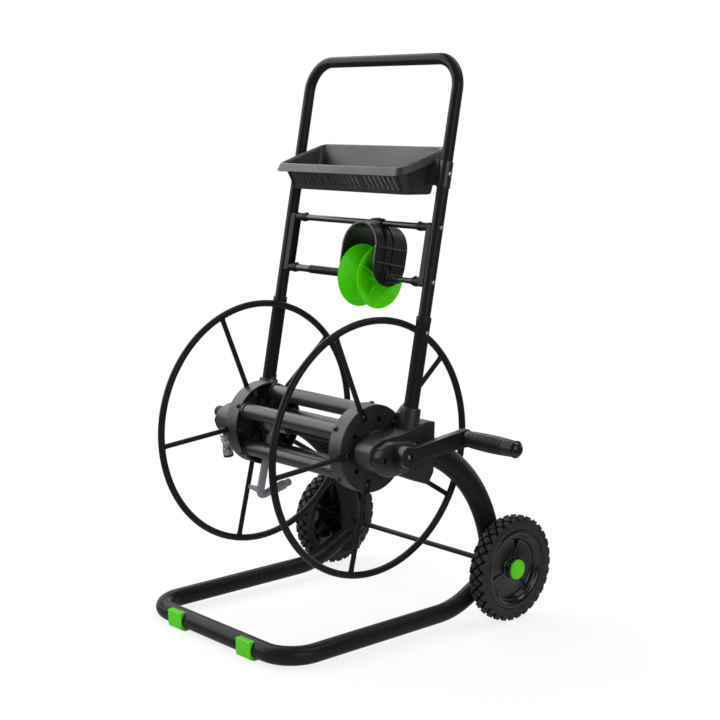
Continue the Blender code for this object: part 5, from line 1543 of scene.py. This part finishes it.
def makeGrip():
    place = onReel @ at(0, crank["throwY"], crank["throwZ"]) @ alongX
    start, end = crank["outer"] + free, crank["gripEnd"] - crank["capLength"]
    length, inner, ends = end - start, crank["spindle"] + free, crank["gripEnds"]
    first, last = crank["ribbed"]
    pitch = (last - first) / crank["ribs"]
    points = [(0.04, 0.0)]
    for rib in range(crank["ribs"]):
        points += [(first + pitch * (rib + share), deep) for share, deep in crank["rib"]]
    points += [(spot, 0.0) for spot in crank["plain"]]
    profile = [(inner, start), (ends - 0.0014, start), (ends - 0.0002, start + 0.0006),
               (ends + 0.0006, start + 0.0016)]
    profile += [(swell(spot) - deep * crank["ribDepth"], start + length * spot) for spot, deep in points]
    form = spun([(inner, end), (ends, end)] + profile[::-1], 64, True)
    smoothX, smoothY = crank["smoothSide"]
    for vert in form.verts:
        share = (vert.co.z - start) / length
        radius = hypot(vert.co.x, vert.co.y)
        if first <= share <= last and radius > inner + 0.004:
            lift = (vert.co.x * smoothX + vert.co.y * smoothY) / radius
            smooth = clamped((lift - crank["smoothStart"]) / crank["smoothLength"])
            grow = 1 + (swell(share) / radius - 1) * smooth
            vert.co.x *= grow
            vert.co.y *= grow
    piece("crankGrip", placed(form, place), "gripBlack", "grip", "black_plastic", "crank_grip")
    r, foot = ends + 0.0015, end + 0.0048
    cap = [(0, end + 0.0003), (r - 0.0006, end + 0.0003), (r, end + 0.0010), (r, end + 0.0032),
           (r - 0.0006, end + 0.0040), (r - 0.0024, end + 0.0042), (r - 0.0028, foot)]
    dome = arc(0, 0, 1, 0, quarter, 14)[1:-1]
    cap += [(out, foot + up) for out, up in stretched(dome, r - 0.0028, crank["gripEnd"] - foot)]
    piece("gripCap", placed(spun([(0, crank["gripEnd"])] + cap[::-1], 64), place), "glossBlack", "grip",
          "gloss_plastic", "crank_grip_cap")
    r, back = crank["spindle"], crank["inner"] - snug
    spindle = [(0, end - 0.006), (r, end - 0.006), (r, back), (r * 1.7, back), (r * 1.8, back - 0.0005),
               (r * 1.8, back - 0.0030), (r * 1.6, back - 0.0035), (0, back - 0.0035)]
    piece("gripSpindle", placed(spun(spindle, 32), place), "zinc", "reel", "nickel", "grip_spindle")


makeArm()
makeGrip()
print("crank made")


# bolts and screws that hold it together
fasteners = {
    # place along the upright, which tube it sits on, radius
    "frameBolts": ((0.5233, uprights["middleRadius"] + 0.0015, 0.0046),
                   (guide["rodS"], uprights["middleRadius"], 0.0042),
                   (guide["barS"] + 0.0012, uprights["middleRadius"], 0.0042),
                   (0.2226, uprights["lowerRadius"], 0.0038)),
    "boltHeight": 0.62,                 # as a share of the radius
    "coverScrewX": 0.2412,
    "bracketScrew": (0.0570, -0.0372),
    "domeAngles": (38, 50, 62, 74, 84, 90),
    "sunk": 0.0006,                     # how far a head reaches into what it holds
}


def domedBolt(radius, height, recess=0.45):
    # a low dome with a round socket, its seat on Z = 0
    profile = [(0, height * 0.45), (radius * recess * 0.9, height * 0.45), (radius * recess, height * 0.98)]
    for angle in fasteners["domeAngles"]:
        out, up = sin(radians(angle)), cos(radians(angle))
        profile.append((radius * out, height * (0.25 + 0.75 * up)))
    return spun(profile + [(radius, -fasteners["sunk"]), (0, -fasteners["sunk"])], 28)


def panHead(radius, height):
    # a screw head with a cross cut into it
    form = spun([(0, height), (radius * 0.7, height), (radius * 0.9, height * 0.8), (radius, height * 0.4),
                 (radius, -fasteners["sunk"]), (0, -fasteners["sunk"])], 28)
    slots = [placed(block(radius * 1.1, radius * 0.26, height), at(z=height * 1.05), turn(angle, "Z"))
             for angle in (0, quarter)]
    return shaped(form, "DIFFERENCE", *slots)


def makeFasteners():
    bolts = [placed(domedBolt(size, size * fasteners["boltHeight"]),
                    at(cart["sideX"] + radius - snug, 0, s), alongX)
             for s, radius, size in fasteners["frameBolts"]]
    coverScrew = placed(domedBolt(0.0044, 0.0028, 0.3), at(fasteners["coverScrewX"], *bracket["coverScrew"]),
                        alongX)
    piece("frameBolts", gathered(bothSides(onUpright, *bolts), bothSides(onReel, coverScrew)), "zinc",
          "chassis", "nickel")
    screw = placed(panHead(0.0046, 0.0026), at(bracket["outer"], *fasteners["bracketScrew"]), alongX)
    spoke, inner, rim = [], [], []
    for angle in round5(reel["spokeAngle"]):
        place = spotAt(reel["screwCircle"], angle)
        spoke.append(placed(panHead(0.0046, 0.0022), at(reel["ringX"] + 0.0025) @ place, alongX))
        inner.append(placed(domedBolt(0.0042, 0.0020), at(0.1491) @ place, turn(-quarter, "Y")))
    for angle in round5(reel["tubeAngle"]):
        rim.append(placed(domedBolt(0.0052, 0.0040, 0.3), at(0.1480), turn(angle - quarter, "X"),
                          at(z=reel["discRadius"] - 0.0002)))
    for name, forms, finish, body, slotName in (
            ("bracketScrews", [screw], "mouldedBlack", "chassis", "black_plastic"),
            ("spokeScrews", spoke, "darkZinc", "reel", "nickel"),
            ("innerScrews", inner, "mouldedBlack", "reel", "black_plastic"),
            ("rimScrews", rim, "glossBlack", "reel", "black_plastic")):
        piece(name, bothSides(onReel, *forms), finish, body, slotName)
    screw = placed(panHead(0.0042, 0.0026), onReel, at(crank["outer"] - 0.0031), alongX)
    piece("crankScrew", screw, "zinc", "reel", "nickel")


makeFasteners()
print("fasteners made")


# the solids' own nodes get the finish of their slot
slotFinishes = {
    "black_steel": "powderBlack",
    "drum_steel": "drumGrey",
    "black_plastic": "mouldedBlack",
    "green_plastic": "leafGreen",
    "gloss_plastic": "glossBlack",
    "tyre_rubber": "tyreBlack",
    "nickel": "nickel",
    "grey_plastic": "pipeGrey",
}
slotNames = {item["node"]: item["material_slot"] for item in frame["record"]["subparts"]}
for node in frame["nodes"].values():
    node.data.materials.clear()
    node.data.materials.append(finishes[slotFinishes[slotNames[node.name]]])

bpy.context.view_layer.update()
